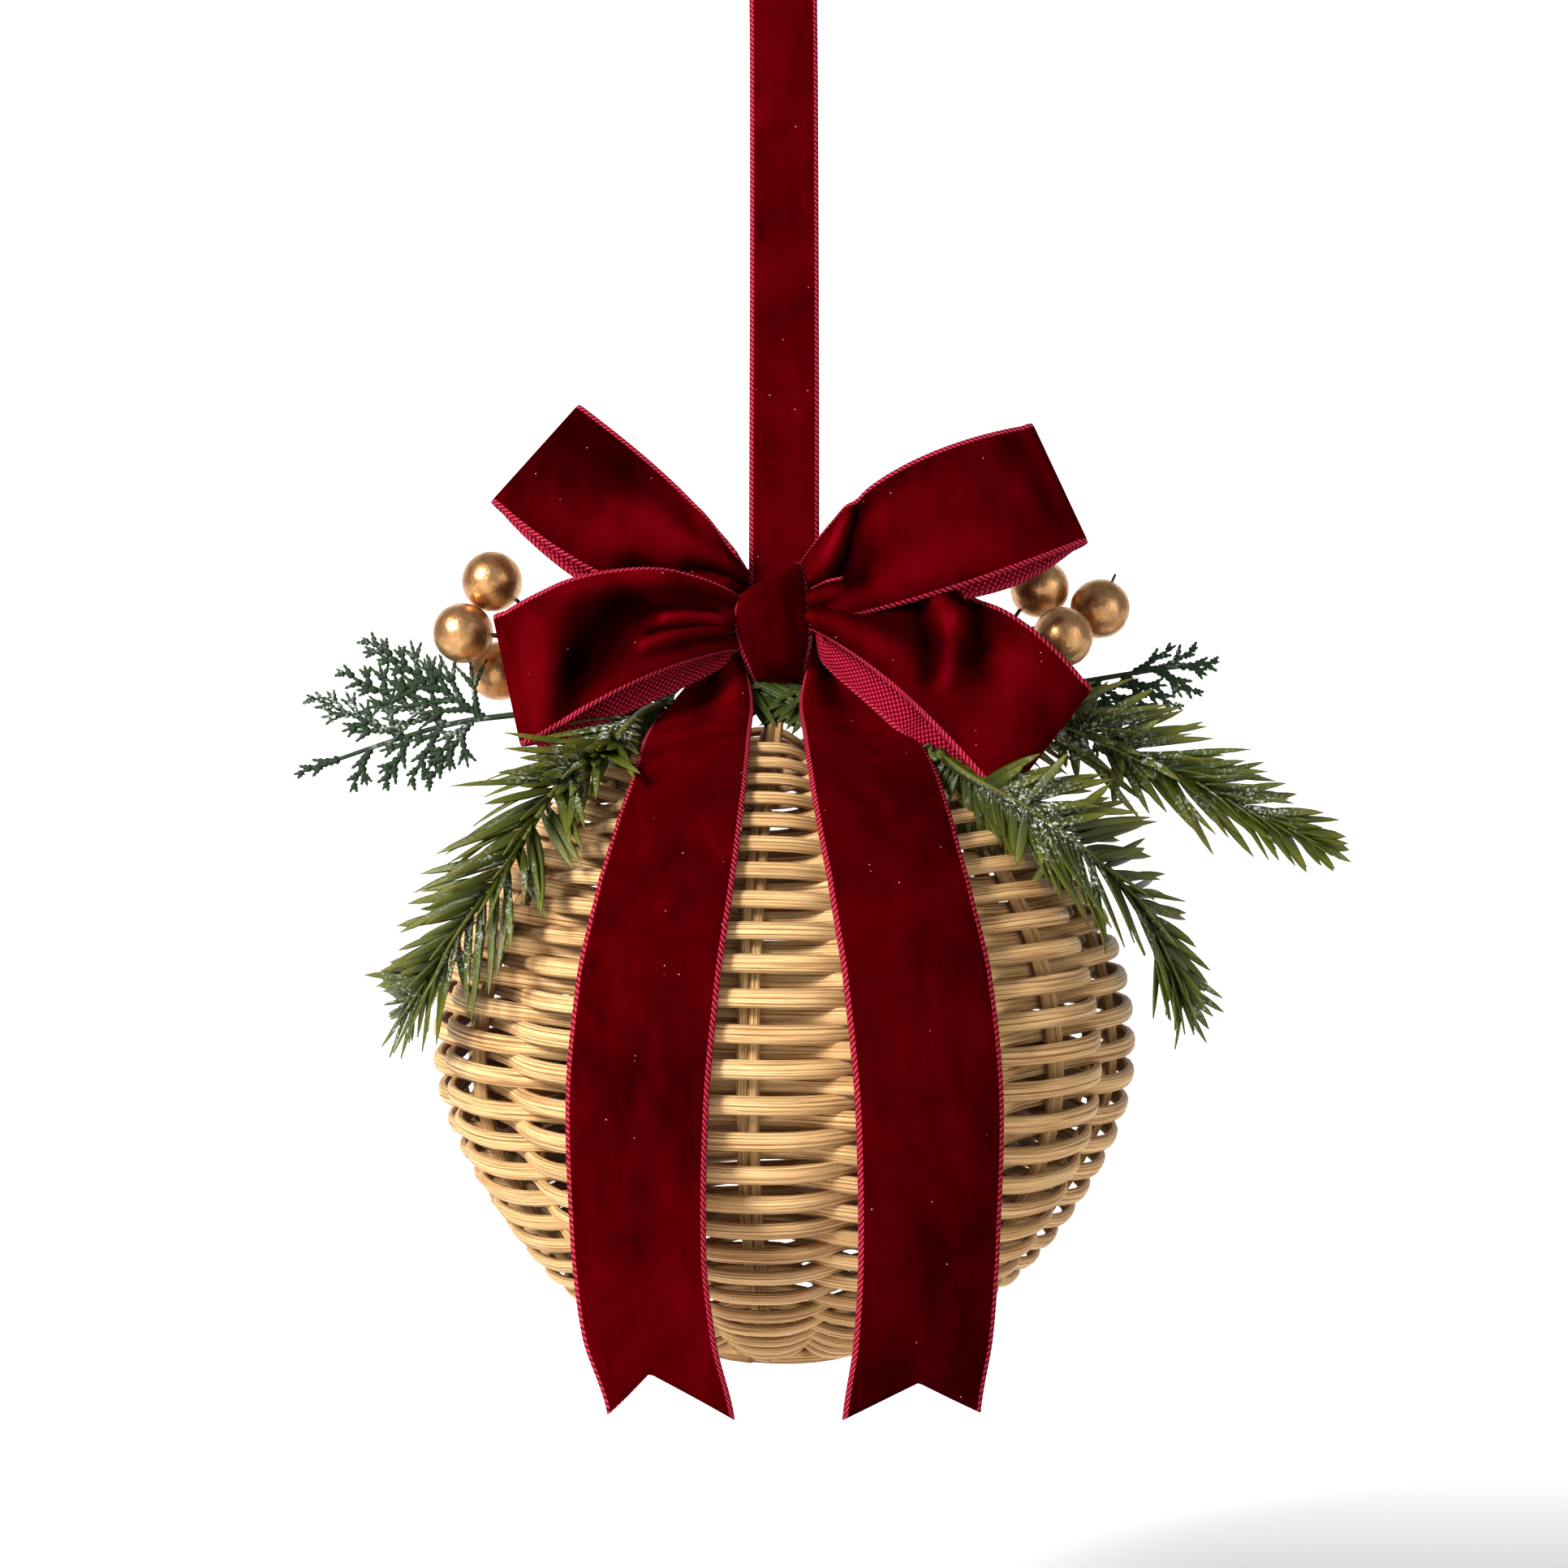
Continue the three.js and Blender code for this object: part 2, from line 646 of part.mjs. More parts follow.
function bowLoop(loop) {
  const row = (share, fold) => {
    const pleat = pleatDepth * (1 - min(share / gatherReach, 1)) ** 2;
    const points = [];
    for (let k = 0; k < loopAcross; k += 1) {
      const point = loopPoint(loop, share, k / (loopAcross - 1) - 0.5, fold);
      point.y += (k % 2 ? pleat : -pleat) / 2;
      points.push(point);
    }
    return points;
  };
  const rows = [];
  for (let k = 0; k <= loopFrontSteps; k += 1) rows.push(row(k / loopFrontSteps, 0));
  for (let k = 1; k < loopFoldSteps; k += 1) rows.push(row(1, k / loopFoldSteps));
  for (let k = loopRearSteps; k >= 0; k -= 1) rows.push(row(k / loopRearSteps, 1));
  return sheet(rows, ribbonThickness);
}

// Tails

function tail({ side, stations, corners, notch }) {
  const point = (height, x, depth) => {
    const reach = depth || outerRadiusAt(max(0, height)) + tailRest;
    return vec(side * x, -sqrt(reach ** 2 - x ** 2), level(height));
  };
  const rows = stations.map(([height, outer, inner, depth]) => [
    point(height, outer, depth),
    point(height, (outer + inner) / 2, depth),
    point(height, inner, depth),
  ]);
  const [height, outer, inner] = corners;
  rows.push([point(height, outer, 0), point(notch[0], notch[1], 0), point(height, inner, 0)]);
  return sheet(rows, ribbonThickness);
}

function addRibbons() {
  addPiece('hanger_ribbon', hanger(), finish.velvet);
  addPiece('neck_wrap', neckWrap(), finish.velvet);
  addPiece('bow_knot', knot(), finish.velvet);
  for (const loop of bowLoops) addPiece(loop.name, bowLoop(loop), finish.velvet);
  for (const each of tails) addPiece(each.name, tail(each), finish.velvet);
}

// Needle sprigs: leaves stand in turn on both sides of the stem, with a few along its front

function overBall([turn, latitude, off]) {
  const radius = (ballRadius + off) * cos(latitude * degree);
  const height = (ballRise + off) * sin(latitude * degree);
  return spot([radius * sin(turn * degree), -radius * cos(turn * degree), height]);
}

function needleSprig(sprig) {
  const stem = sprig.stem.map(overBall);
  const curve = new THREE.CatmullRomCurve3(stem);
  const centre = vec(0, 0, level(0));
  const towardViewer = vec(0, -1, 0);
  const bodies = [tube(stem, stemRadius, stemSides, 2 * stem.length)];
  for (let k = 0; k < sprig.leaves; k += 1) {
    const along = k / (sprig.leaves - 1);
    const share = sprig.firstLeaf + along * (lastLeafShare - sprig.firstLeaf);
    const base = curve.getPointAt(share);
    const run = curve.getTangentAt(share);
    const face = base.clone().sub(centre).normalize().lerp(towardViewer, 1 - sprig.ballFacing);
    const across = run.clone().cross(face).normalize();
    const hand = k % 2 ? 1 : -1;
    const even = sprig.rootSpread + (sprig.tipSpread - sprig.rootSpread) * along;
    const spread = (k === sprig.leaves - 1 ? 0 : even + leafSway * sin(3 * k)) * degree;
    const lift = (leafLift[0] + (leafLift[1] - leafLift[0]) * sin(5 * k) ** 2) * degree;
    const direction = run.clone().multiplyScalar(cos(spread))
      .addScaledVector(across, hand * sin(spread))
      .addScaledVector(face.normalize(), sin(lift))
      .normalize();
    const ends = sprig.rootLength + (sprig.tipLength - sprig.rootLength) * along;
    bodies.push(leafBody({
      base, direction, face,
      length: ends + (sprig.fullLength - ends) * sin(PI * along),
      width: needleWidth,
      thickness: needleThickness,
    }));
  }
  return joined(bodies);
}

// Cedar sprigs: flat fronds of branches that carry short side shoots

function twig(base, direction, face, length) {
  return leafBody({ base, direction, face, length, width: twigWidth, thickness: twigWidth });
}

function branch(base, direction, face, length) {
  const bodies = [twig(base, direction, face, length)];
  for (let k = 1; k <= 2 * cedarTwigs; k += 1) {
    const share = k / (2 * cedarTwigs + 1);
    const hand = k % 2 ? 1 : -1;
    const foot = base.clone().addScaledVector(direction, share * length);
    const shoot = direction.clone().applyAxisAngle(face, hand * shootSpread * degree);
    bodies.push(twig(foot, shoot, face, shootLength * length * (1 - share / 2)));
  }
  return bodies;
}

function cedarSprig(sprig) {
  const stem = sprig.stem.map(spot);
  const curve = new THREE.CatmullRomCurve3(stem);
  const face = vec(0, -1, 0);
  const hand = Math.sign(stem[0].x);
  const bodies = [tube(stem, stemRadius, stemSides, 2 * stem.length)];
  const grow = (shares, length, spread) => shares.forEach((share, k) => {
    const run = curve.getTangentAt(share).applyAxisAngle(face, hand * spread * degree);
    const foot = curve.getPointAt(share);
    bodies.push(...branch(foot, run.setY(0).normalize(), face, length * (1 - branchShrink * k)));
  });
  grow(sprig.up, sprig.upLength, sprig.upSpread);
  grow(sprig.down, sprig.downLength, -sprig.downSpread);
  bodies.push(...branch(curve.getPointAt(lastLeafShare), curve.getTangentAt(1), face,
    sprig.endLength));
  return joined(bodies);
}

// Smooth leaves: two blades that spring from one foot beside the knot

function smoothLeaves() {
  const foot = spot(smoothLeafFoot);
  const blade = (direction) => leafBody({
    base: foot.clone().addScaledVector(direction, -smoothLeafThickness),
    direction,
    face: vec(0, -1, 0.8).normalize(),
    length: smoothLeafLength,
    width: smoothLeafWidth,
    thickness: smoothLeafThickness,
  });
  const stalk = [foot.clone().add(vec(-3, 2, 1)), foot];
  const directions = smoothLeafDirections.map((run) => vec(...run).normalize());
  return joined([...directions.map(blade), tube(stalk, wireRadius, wireSides, 1)]);
}

function addGreenery() {
  for (const each of needleSprigs) addPiece(each.name, needleSprig(each), finish.needle);
  for (const each of cedarSprigs) addPiece(each.name, cedarSprig(each), finish.cedar);
  addPiece('smooth_leaf_pair', smoothLeaves(), finish.needle);
}

// Berries and the wires that carry them

function berryWires(side) {
  const join = spot(wireJoin[side]);
  const bodies = [tube([spot(wireRoot[side]), join], wireRadius, wireSides, 1)];
  for (const centre of berries[side].map(spot)) {
    const run = centre.clone().sub(join).normalize();
    const end = centre.clone().addScaledVector(run, -(berryRadius + clearance));
    const start = join.clone().addScaledVector(run, -wireRadius);
    bodies.push(tube([start, end], wireRadius, wireSides, 1));
  }
  return joined(bodies);
}

function addBerries() {
  for (const side of ['left', 'right']) {
    berries[side].map(spot).forEach(({ x, y, z }, k) => {
      const berry = new THREE.SphereGeometry(berryRadius, 10, 7);
      berry.translate(x, y, z);
      addPiece(`gold_berry_${side}_${k + 1}`, berry, finish.berry);
    });
    addPiece(`berry_wires_${side}`, berryWires(side), finish.wire);
  }
}

addBall();
addRibbons();
addGreenery();
addBerries();

export default part;
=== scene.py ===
"""Look of the rattan bell ornament: woven reed, velvet ribbons, frosted sprigs and gold berries.

Lengths in the tables are millimetres. Heights in them count up from the ball's widest row, as in
the part's own source; X runs to the viewer's right and Y away from the viewer.
"""

import random
from math import cos, exp, hypot, pi, radians, sin, sqrt, tan

import bmesh
import bpy
from mathutils import Matrix, Vector, noise


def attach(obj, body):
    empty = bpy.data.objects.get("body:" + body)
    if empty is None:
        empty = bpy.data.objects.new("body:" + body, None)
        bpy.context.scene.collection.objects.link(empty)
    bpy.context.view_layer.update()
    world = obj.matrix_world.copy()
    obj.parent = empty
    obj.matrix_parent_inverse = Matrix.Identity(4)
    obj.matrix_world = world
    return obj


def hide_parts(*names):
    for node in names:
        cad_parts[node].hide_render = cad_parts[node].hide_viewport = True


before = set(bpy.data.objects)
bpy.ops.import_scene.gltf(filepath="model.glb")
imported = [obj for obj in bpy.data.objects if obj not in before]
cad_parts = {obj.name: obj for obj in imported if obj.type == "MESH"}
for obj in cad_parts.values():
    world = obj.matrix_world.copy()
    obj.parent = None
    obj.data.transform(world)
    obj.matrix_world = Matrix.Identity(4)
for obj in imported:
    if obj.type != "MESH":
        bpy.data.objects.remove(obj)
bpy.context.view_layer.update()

MM = 0.001
FRONT = Vector((0, -1, 0))  # towards the viewer

# Woven ball
HANGING_DROP = 266
BALL_RADIUS = 85
BALL_RISE = 84
BALL_FALL = 76
BALL_TILT = radians(9)
FLANK_HOLLOW = 2.2
FLANK_HOLLOW_LATITUDE = radians(58)
STAKES = 13
FIRST_STAKE_TURN = radians(-5.6)
STAKE_THICKNESS = 2.2
STAKE_WIDTH = 5.2
WEAVER_HEIGHT = 3.45
WEAVER_THICKNESS = 2.6
ROW_GAP = 0.35
WEAVE_CLEARANCE = 0.62
POLE_SHARE = 0.6
WEAVER_MIDDLE_LATITUDE = radians(11)
WEAVER_TOP_LATITUDE = radians(65.5)
WEAVER_BOTTOM_LATITUDE = radians(-68)
STAKE_BOTTOM_LATITUDE = radians(-70.5)
STAKE_SHOULDER_LATITUDE = radians(70)
WEAVER_STEPS = 8  # stretches of the weaver between two stakes
REED_SIDES = 10
NECK_RADIUS = 11.5
NECK_TOP = 106
NECK_FOOT = 86
NECK_CURVE = 0.33
BASE_THICKNESS = 5

# Velvet ribbons
RIBBON_WIDTH = 32
HANGER_WIDTH = 17
HANGER_INNER_RADIUS = 5
WRAP_TOP = 109
WRAP_HEIGHT = 18
WRAP_RADIUS = 14.4
PILE_THICKNESS = 1.0
SELVEDGE_WIDTH = 1.05
SELVEDGE_THICKNESS = 0.75
VELVET, SELVEDGE, WOVEN = range(3)

# Bow loops, as in the part: root, belly and tip as [x, height], the turn of the ribbon's width at
# both ends, its seen width as a share, depth in front of the axis, lean and drop of the rear layer.
# drop_place and drop_shape say where along the loop the rear layer drops most and how suddenly.
# The pleats at the knot have a number, a phase and a depth, and cup hollows the face.
# A fold runs between two places (share along the loop, share across it); then come its half width
# and depth in mm, and how much painted light (above 0) or painted shade (below 0) it puts on the
# pile.
BOW_LOOPS = [
    dict(name="upper_left", root=(-13, 111.3), belly=(-32.5, 120.4), tip=(-59.9, 141.4),
         turns=(70, 49.6), widths=(0.34, 0.86, 1), depths=(21, 26, 21), lean=2, rear_drop=3.4,
         drop_place=0.9, drop_shape=0.8, pleats=2.5, phase=0.4, pleat_depth=1.4, cup=2.2, folds=[
             ((0.3, -0.02), (0.62, -0.12), 7, -1.5, 0.9), ((0.24, -0.3), (0.45, -0.3), 5, 3.5, -1.5),
             ((0.78, 0.34), (0.98, 0.2), 9, 0, -0.9), ((0.08, 0.3), (0.32, 0.42), 3, -1, 0.5),
             ((0.05, 0), (0.25, -0.1), 2.2, 1.5, -0.9)]),
    dict(name="upper_right", root=(9, 109), belly=(31.8, 118.8), tip=(65.2, 132.1),
         turns=(96, 112.9), widths=(0.62, 0.99, 1), depths=(28, 41, 31), lean=4, rear_drop=3.0,
         drop_place=2.6, drop_shape=1, pleats=1.8, phase=2.4, pleat_depth=1.4, cup=2.6, folds=[
             ((0.02, 0.12), (0.19, 0.44), 2.4, -3.2, 0.8), ((0.1, -0.06), (0.27, 0.4), 3, 3, -1.2),
             ((0.06, -0.2), (0.2, -0.2), 3.5, 2.2, -1.2), ((0.4, -0.1), (0.85, -0.25), 9, 0, 0.35),
             ((0.94, 0.4), (0.98, -0.3), 3, 0, -0.4)]),
    dict(name="lower_left", root=(-13, 99.6), belly=(-36.1, 96.6), tip=(-64.9, 85),
         turns=(90, 102.8), widths=(0.46, 0.85, 1), depths=(26, 38, 31), lean=2, rear_drop=5,
         drop_place=0.9, drop_shape=0.36, pleats=2.2, phase=3.6, pleat_depth=1.2, cup=2.0, folds=[
             ((0.5, 0.14), (0.72, -0.12), 6.5, 7, -2.0), ((0.72, -0.12), (0.86, -0.4), 4, 3, -1.3),
             ((0.06, 0.06), (0.42, 0.1), 2.4, 1.6, -1.0),
             ((0.04, -0.04), (0.32, -0.02), 1.7, -2.6, 1.3),
             ((0.04, -0.16), (0.44, -0.22), 2.0, -3.2, 1.2),
             ((0.1, -0.1), (0.4, -0.12), 1.3, 1.6, -1.2),
             ((0.9, 0.25), (0.93, -0.35), 5, -1, 1.0), ((0.3, 0.4), (0.75, 0.42), 3.5, -1.5, 0.4)]),
    dict(name="lower_right", root=(9, 102.5), belly=(34.5, 92.2), tip=(60.4, 68.4),
         turns=(80, 51.7), widths=(0.4, 0.95, 1.1), depths=(30, 42, 45), lean=12, rear_drop=8.2,
         drop_place=0.9, drop_shape=0.16, pleats=2.2, phase=1.2, pleat_depth=1.2, cup=2.2, folds=[
             ((0.41, 0.36), (0.53, 0.16), 2.4, -5, 1.2), ((0.53, 0.16), (0.62, -0.2), 2.4, -4, 0.9),
             ((0.56, 0.45), (0.68, 0.08), 3.4, 4, -1.2), ((0.36, 0.3), (0.56, -0.22), 3.6, 3.8, -1.3),
             ((0.82, 0.26), (0.88, -0.28), 6, -0.5, 0.7), ((0.14, 0.15), (0.3, 0.2), 5, 2, -1.3)]),
]
LOOP_CUTS = {"upper_left": 0.128, "upper_right": 0.142, "lower_left": 0.132, "lower_right": 0.136}
LOOP_LENGTH = 65
LOOP_FOLD_RADIUS = 3
LOOP_GAPS = (4, 8, 6)
GATHER_REACH = 0.6

# Tails: height, outer edge, inner edge and depth; depth 0 lies on the ball
TAIL_REST = 2.2
TAILS = [
    dict(name="left", side=-1, corners=(-77, 36.9, 10.2), notch=(-68, 28), stations=[
        (94.5, 16.5, 11.5, 19), (88, 23, 8.8, 23), (79, 29.5, 7.2, 32), (70, 32.2, 7.6, 0),
        (61, 33.8, 8.1, 0), (50, 36.7, 9.1, 0), (36, 40.2, 10.6, 0), (16, 44.2, 13.3, 0),
        (-12, 46.6, 15.8, 0), (-44, 45, 16.2, 0), (-62, 42.3, 14, 0)]),
    dict(name="right", side=1, corners=(-77, 41.3, 12.1), notch=(-70, 27.9), stations=[
        (94.5, 13.5, 7.2, 19), (88, 19, 5.2, 23), (79, 25, 3.6, 32), (70, 31, 4.3, 0),
        (61, 34.6, 5.3, 0), (50, 37.2, 6.8, 0), (36, 40.2, 9.2, 0), (16, 44.4, 12.2, 0),
        (-12, 46.9, 14.9, 0), (-44, 45.6, 15.5, 0), (-62, 44, 14.4, 0)]),
]

# Knot: a level is its left and right side as [x, height], and how far the face bulges
KNOT_WIDTH = 18
KNOT_BACK = 19.8
KNOT_DEPTH = 11.5
KNOT_LEVELS = [
    ((-8.6, 107.2), (3.2, 114.6), 0.1), ((-10.4, 105.8), (4.6, 113.2), 0.72),
    ((-11.6, 103.2), (5.4, 110), 0.95), ((-12, 99), (5.8, 104), 1),
    ((-10.6, 93.5), (6.4, 96), 1), ((-8.4, 88.8), (5.2, 89.6), 0.8),
    ((-7, 86), (3.9, 85.6), 0.12),
]

# Needle sprigs: the stem's points over the ball as (degrees round from the front, degrees above
# the widest row, mm off the ball). Places along the stem are shares: leaves begin at first_leaf,
# stand towards the viewer from front_from on and do not stand up before bare_above; short ones
# end at short_reach, and tube_from is where the stem begins. lengths are at root, middle and tip,
# spreads are degrees off the stem at root and tip, and tuft is how many leaves point back.
NEEDLE_SPRIGS = [
    dict(name="needle_sprig_left", ball_facing=0.6, first_leaf=0.1, leaves=140, front_from=0.25,
         bare_above=0, lengths=(17, 24, 13), spreads=(62, 34), seed=3, short=100,
         short_reach=0.4, tuft=16, tube_from=0,
         stem=[(-64, 68.5, 3.5), (-50.5, 60.5, 4.5), (-43, 49.5, 5.5), (-43.5, 38.5, 9),
               (-45, 26, 9.5), (-50, 17, 10.5), (-56.5, 9.5, 11), (-63.5, 5, 11)]),
    dict(name="needle_sprig_right_long", ball_facing=0.1, first_leaf=0.2, leaves=116,
         front_from=0, bare_above=0, lengths=(22, 21, 9), spreads=(44, 24), seed=5, short=46,
         short_reach=0.5, tuft=8, tube_from=0,
         stem=[(49, 69, 3.5), (63.5, 60, 8.5), (72.5, 49.5, 16.5), (78, 39, 25.5),
               (80.5, 31.5, 33.5), (82.5, 25, 43), (84, 20.5, 52.5)]),
    dict(name="needle_sprig_right_low", ball_facing=0.6, first_leaf=0.08, leaves=116,
         front_from=0.5, bare_above=0.2, lengths=(15, 22, 11), spreads=(54, 32), seed=8, short=60,
         short_reach=0.45, tuft=0, tube_from=0.08,
         stem=[(38, 52, 2), (39.5, 42.5, 4.5), (45, 35, 8), (54.5, 27.5, 9.5),
               (66.5, 20.5, 9.5), (71, 13, 10.5), (73, 6, 12.5)]),
]
NEEDLE_WIDTH = 2.4
TAIL_EDGE = 33
STEM_RADIUS = 1.0
LAST_LEAF = 0.985  # share of the stem
CEDAR_SPRIGS = [
    dict(name="cedar_sprig_left", up=(0.52, 0.64, 0.78), down=(0.56, 0.66, 0.76, 0.88),
         lengths=(37, 20, 12), spreads=(40, 48), seed=11,
         stem=[(-27, -6, 87), (-45, -8, 82), (-63, -9, 79.5), (-79, -8, 77.5),
               (-94, -7, 73.5), (-109, -6, 68.5)]),
    dict(name="cedar_sprig_right", up=(0.74, 0.86), down=(0.4, 0.5, 0.6, 0.7, 0.84),
         lengths=(13, 29, 10), spreads=(24, 40), seed=13,
         stem=[(27, 0, 86), (42, 1, 85), (60, 3, 86.5), (76, 5, 89.5), (91, 5, 92), (99, 5, 93)]),
]
SMOOTH_LEAF_FOOT = (-7.5, -19, 84)
SMOOTH_LEAF_RUNS = [(23.5, -7, -3), (19.5, -19, -13)]
ROOT_LEAVES = 34

# Berries and wires
BERRY_RADIUS = 7.3
BERRIES = {
    "left": [(-71, -11, 111.6), (-77.6, -13, 98.6), (-70.6, 1.5, 91.4)],
    "right": [(63, -2.5, 111.4), (77.6, -4.5, 106), (67.4, -13.5, 97.6)],
}
WIRE_RADIUS = 0.6
WIRE_TIPS = [("right", 1, (0.45, -0.1, 1)), ("left", 1, (1, -0.1, -0.05))]
WIRE_JOIN = {"left": (-52, -3, 98), "right": (50, 0, 97.5)}
WIRE_ROOT = {"left": (-19, -3, 96), "right": (19, 0, 96)}


# Small helpers

def level(height):
    return height - HANGING_DROP


def spot(point):
    return Vector((point[0], point[1], level(point[2])))


def over_ball(point):
    """The place of a stem's point, given round, above and off the ball."""
    turn, latitude, off = radians(point[0]), radians(point[1]), point[2]
    radius = (BALL_RADIUS + off) * cos(latitude)
    height = (BALL_RISE + off) * sin(latitude)
    return spot((radius * sin(turn), -radius * cos(turn), height))


def blend(a, b, share):
    return a + (b - a) * share


def clamp(value, low=0.0, high=1.0):
    return max(low, min(high, value))


def ease(value):
    value = clamp(value)
    return value * value * (3 - 2 * value)


def through(start, middle, end, share):
    """A quadratic curve through three values at shares 0, 0.5 and 1."""
    bend = 2 * middle - (start + end) / 2
    return (1 - share) ** 2 * start + 2 * share * (1 - share) * bend + share ** 2 * end


def spline(points, share):
    """A smooth curve through numbers or vectors, by share of their count."""
    place_ = clamp(share) * (len(points) - 1)
    k = min(int(place_), len(points) - 2)
    t = place_ - k
    a, b, c, d = (points[clamp(k + n, 0, len(points) - 1)] for n in (-1, 0, 1, 2))
    return (b * 2 + (c - a) * t + (a * 2 - b * 5 + c * 4 - d) * t ** 2
            + (b * 3 - a - c * 3 + d) * t ** 3) * 0.5


def stem_run(stem, share, step=0.02):
    return spline(stem, share + step) - spline(stem, share - step)


def looked_up(table, height):
    """A smooth value at a height from rows of (height, value) that go down."""
    for k in range(len(table) - 1):
        if height >= table[k + 1][0] or k == len(table) - 2:
            t = (height - table[k][0]) / (table[k + 1][0] - table[k][0])
            return spline([row[1] for row in table], (k + clamp(t, -0.3, 1.3)) / (len(table) - 1))
    raise ValueError("a table needs two rows")


# Meshes

class Body:
    """The points and faces of one piece, in millimetres."""

    def __init__(self):
        self.points = []
        self.faces = []
        self.uvs = []
        self.slots = []
        self.painted_light = []  # painted light on the pile at a point; below zero it is painted shade

    def face(self, corners, uvs, slot=0):
        self.faces.append(tuple(corners))
        self.uvs.append(tuple(uvs))
        self.slots.append(slot)

    def sweep(self, rings, lengths):
        """Closed rings joined into a tube with closed ends; its UV is length and way round."""
        first = len(self.points)
        sides = len(rings[0])
        for ring in rings:
            self.points.extend(ring)
        for i in range(len(rings) - 1):
            low, high = lengths[i], lengths[i + 1]
            for j in range(sides):
                k = (j + 1) % sides
                row, after = first + i * sides, first + (i + 1) * sides
                around = (j / sides, (j + 1) / sides)
                self.face((row + j, row + k, after + k, after + j),
                          ((low, around[0]), (low, around[1]), (high, around[1]),
                           (high, around[0])))
        for start, length in ((first, lengths[0]), (first + (len(rings) - 1) * sides, lengths[-1])):
            self.face([start + j for j in range(sides)], [(length, 0.0)] * sides)

    def sweep_leaf(self, rings, lengths):
        """A sweep whose UV is the way round and the length, as the leaves' materials read it."""
        first = len(self.faces)
        self.sweep(rings, lengths)
        self.uvs[first:] = [tuple((around, along) for along, around in corners)
                            for corners in self.uvs[first:]]

    def ribbon(self, rows, across, facing, painted_light=None):
        """A ribbon round rows of points on its middle; its UV is across and along, in cm."""
        sign = 1
        normals = grid_normals(rows)
        if normals[0][len(across) // 2].dot(facing) < 0:
            sign = -1
        first = len(self.points)
        count = len(across)
        lengths = [0.0]
        middle = count // 2
        for before, after in zip(rows, rows[1:]):
            lengths.append(lengths[-1] + (after[middle] - before[middle]).length)
        for side in (1, -1):
            for i, row in enumerate(rows):
                for j, point in enumerate(row):
                    thick = SELVEDGE_THICKNESS if j in (0, count - 1) else PILE_THICKNESS
                    self.points.append(point + normals[i][j] * (sign * side * thick / 2))
                    self.painted_light.append(painted_light[i][j] if painted_light else 0.0)
        back = len(rows) * count
        last = len(rows) - 1

        def uv(i, j):
            return across[j] * 0.1, lengths[i] * 0.1

        for i in range(last):
            for j in range(count - 1):
                quad = [(i, j), (i, j + 1), (i + 1, j + 1), (i + 1, j)]
                corners = [first + a * count + b for a, b in quad]
                uvs = [uv(a, b) for a, b in quad]
                edge = j in (0, count - 2)
                self.face(corners, uvs, SELVEDGE if edge else VELVET)
                self.face([c + back for c in reversed(corners)], uvs[::-1],
                          SELVEDGE if edge else WOVEN)
            for j in (0, count - 1):
                a, b = first + i * count + j, first + (i + 1) * count + j
                self.face((a, b, b + back, a + back), (uv(i, j), uv(i + 1, j)) * 2, SELVEDGE)
        for i in (0, last):
            for j in range(count - 1):
                a, b = first + i * count + j, first + i * count + j + 1
                self.face((a, b, b + back, a + back), (uv(i, j), uv(i, j + 1)) * 2, SELVEDGE)

    def made(self, name, materials, node):
        """The finished piece, which rides on the one body and stands for a node."""
        mesh = bpy.data.meshes.new(name)
        mesh.from_pydata([p * MM for p in self.points], [], self.faces)
        layer = mesh.uv_layers.new(name="UVMap")
        flat = [c for face in self.uvs for corner in face for c in corner]
        layer.data.foreach_set("uv", flat)
        if self.painted_light:
            mesh.attributes.new("painted_light", "FLOAT", "POINT").data.foreach_set("value", self.painted_light)
        for material in materials:
            mesh.materials.append(material)
        mesh.polygons.foreach_set("material_index", self.slots)
        mesh.polygons.foreach_set("use_smooth", [True] * len(self.faces))
        shape = bmesh.new()
        shape.from_mesh(mesh)
        bmesh.ops.recalc_face_normals(shape, faces=shape.faces)
        shape.to_mesh(mesh)
        shape.free()
        piece = bpy.data.objects.new(name, mesh)
        bpy.context.scene.collection.objects.link(piece)
        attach(piece, "root")
        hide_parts(node)
        return piece


def grid_normals(rows):
    """The outward direction at each point of a grid."""
    def at(i, j):
        return rows[clamp(i, 0, len(rows) - 1)][clamp(j, 0, len(rows[0]) - 1)]

    normals = []
    for i, row in enumerate(rows):
        line = []
        for j in range(len(row)):
            along = at(i + 1, j) - at(i - 1, j)
            across = at(i, j + 1) - at(i, j - 1)
            line.append(along.cross(across).normalized())
        normals.append(line)
    return normals


def oval(centre, side, face, width, thickness, sides=REED_SIDES, roundness=0.8):
    """A ring with the outline of a flat, rounded reed, starting on its inner face."""
    ring = []
    for k in range(sides):
        angle = 2 * pi * k / sides - pi / 2
        a, b = cos(angle), sin(angle)
        a = abs(a) ** roundness * (1 if a > 0 else -1)
        b = abs(b) ** roundness * (1 if b > 0 else -1)
        ring.append(centre + side * (a * width / 2) + face * (b * thickness / 2))
    return ring


def run_lengths(points, scale=0.1):
    lengths = [0.0]
    for a, b in zip(points, points[1:]):
        lengths.append(lengths[-1] + (b - a).length * scale)
    return lengths


def run_at(points, k):
    """The direction of a row of points at one of them."""
    return (points[min(k + 1, len(points) - 1)] - points[max(k - 1, 0)]).normalized()


def tube(body, points, radius, sides=8):
    """A round tube; radius is a number or a function of the share along it."""
    radius_at = radius if callable(radius) else (lambda share: radius)
    rings = []
    side = None
    for k, point in enumerate(points):
        run = run_at(points, k)
        if side is None:
            side = run.orthogonal().normalized()
        side = (side - run * side.dot(run)).normalized()
        other = run.cross(side)
        size = 2 * radius_at(k / (len(points) - 1))
        rings.append(oval(point, side, other, size, size, sides, 1))
    body.sweep(rings, run_lengths(points))


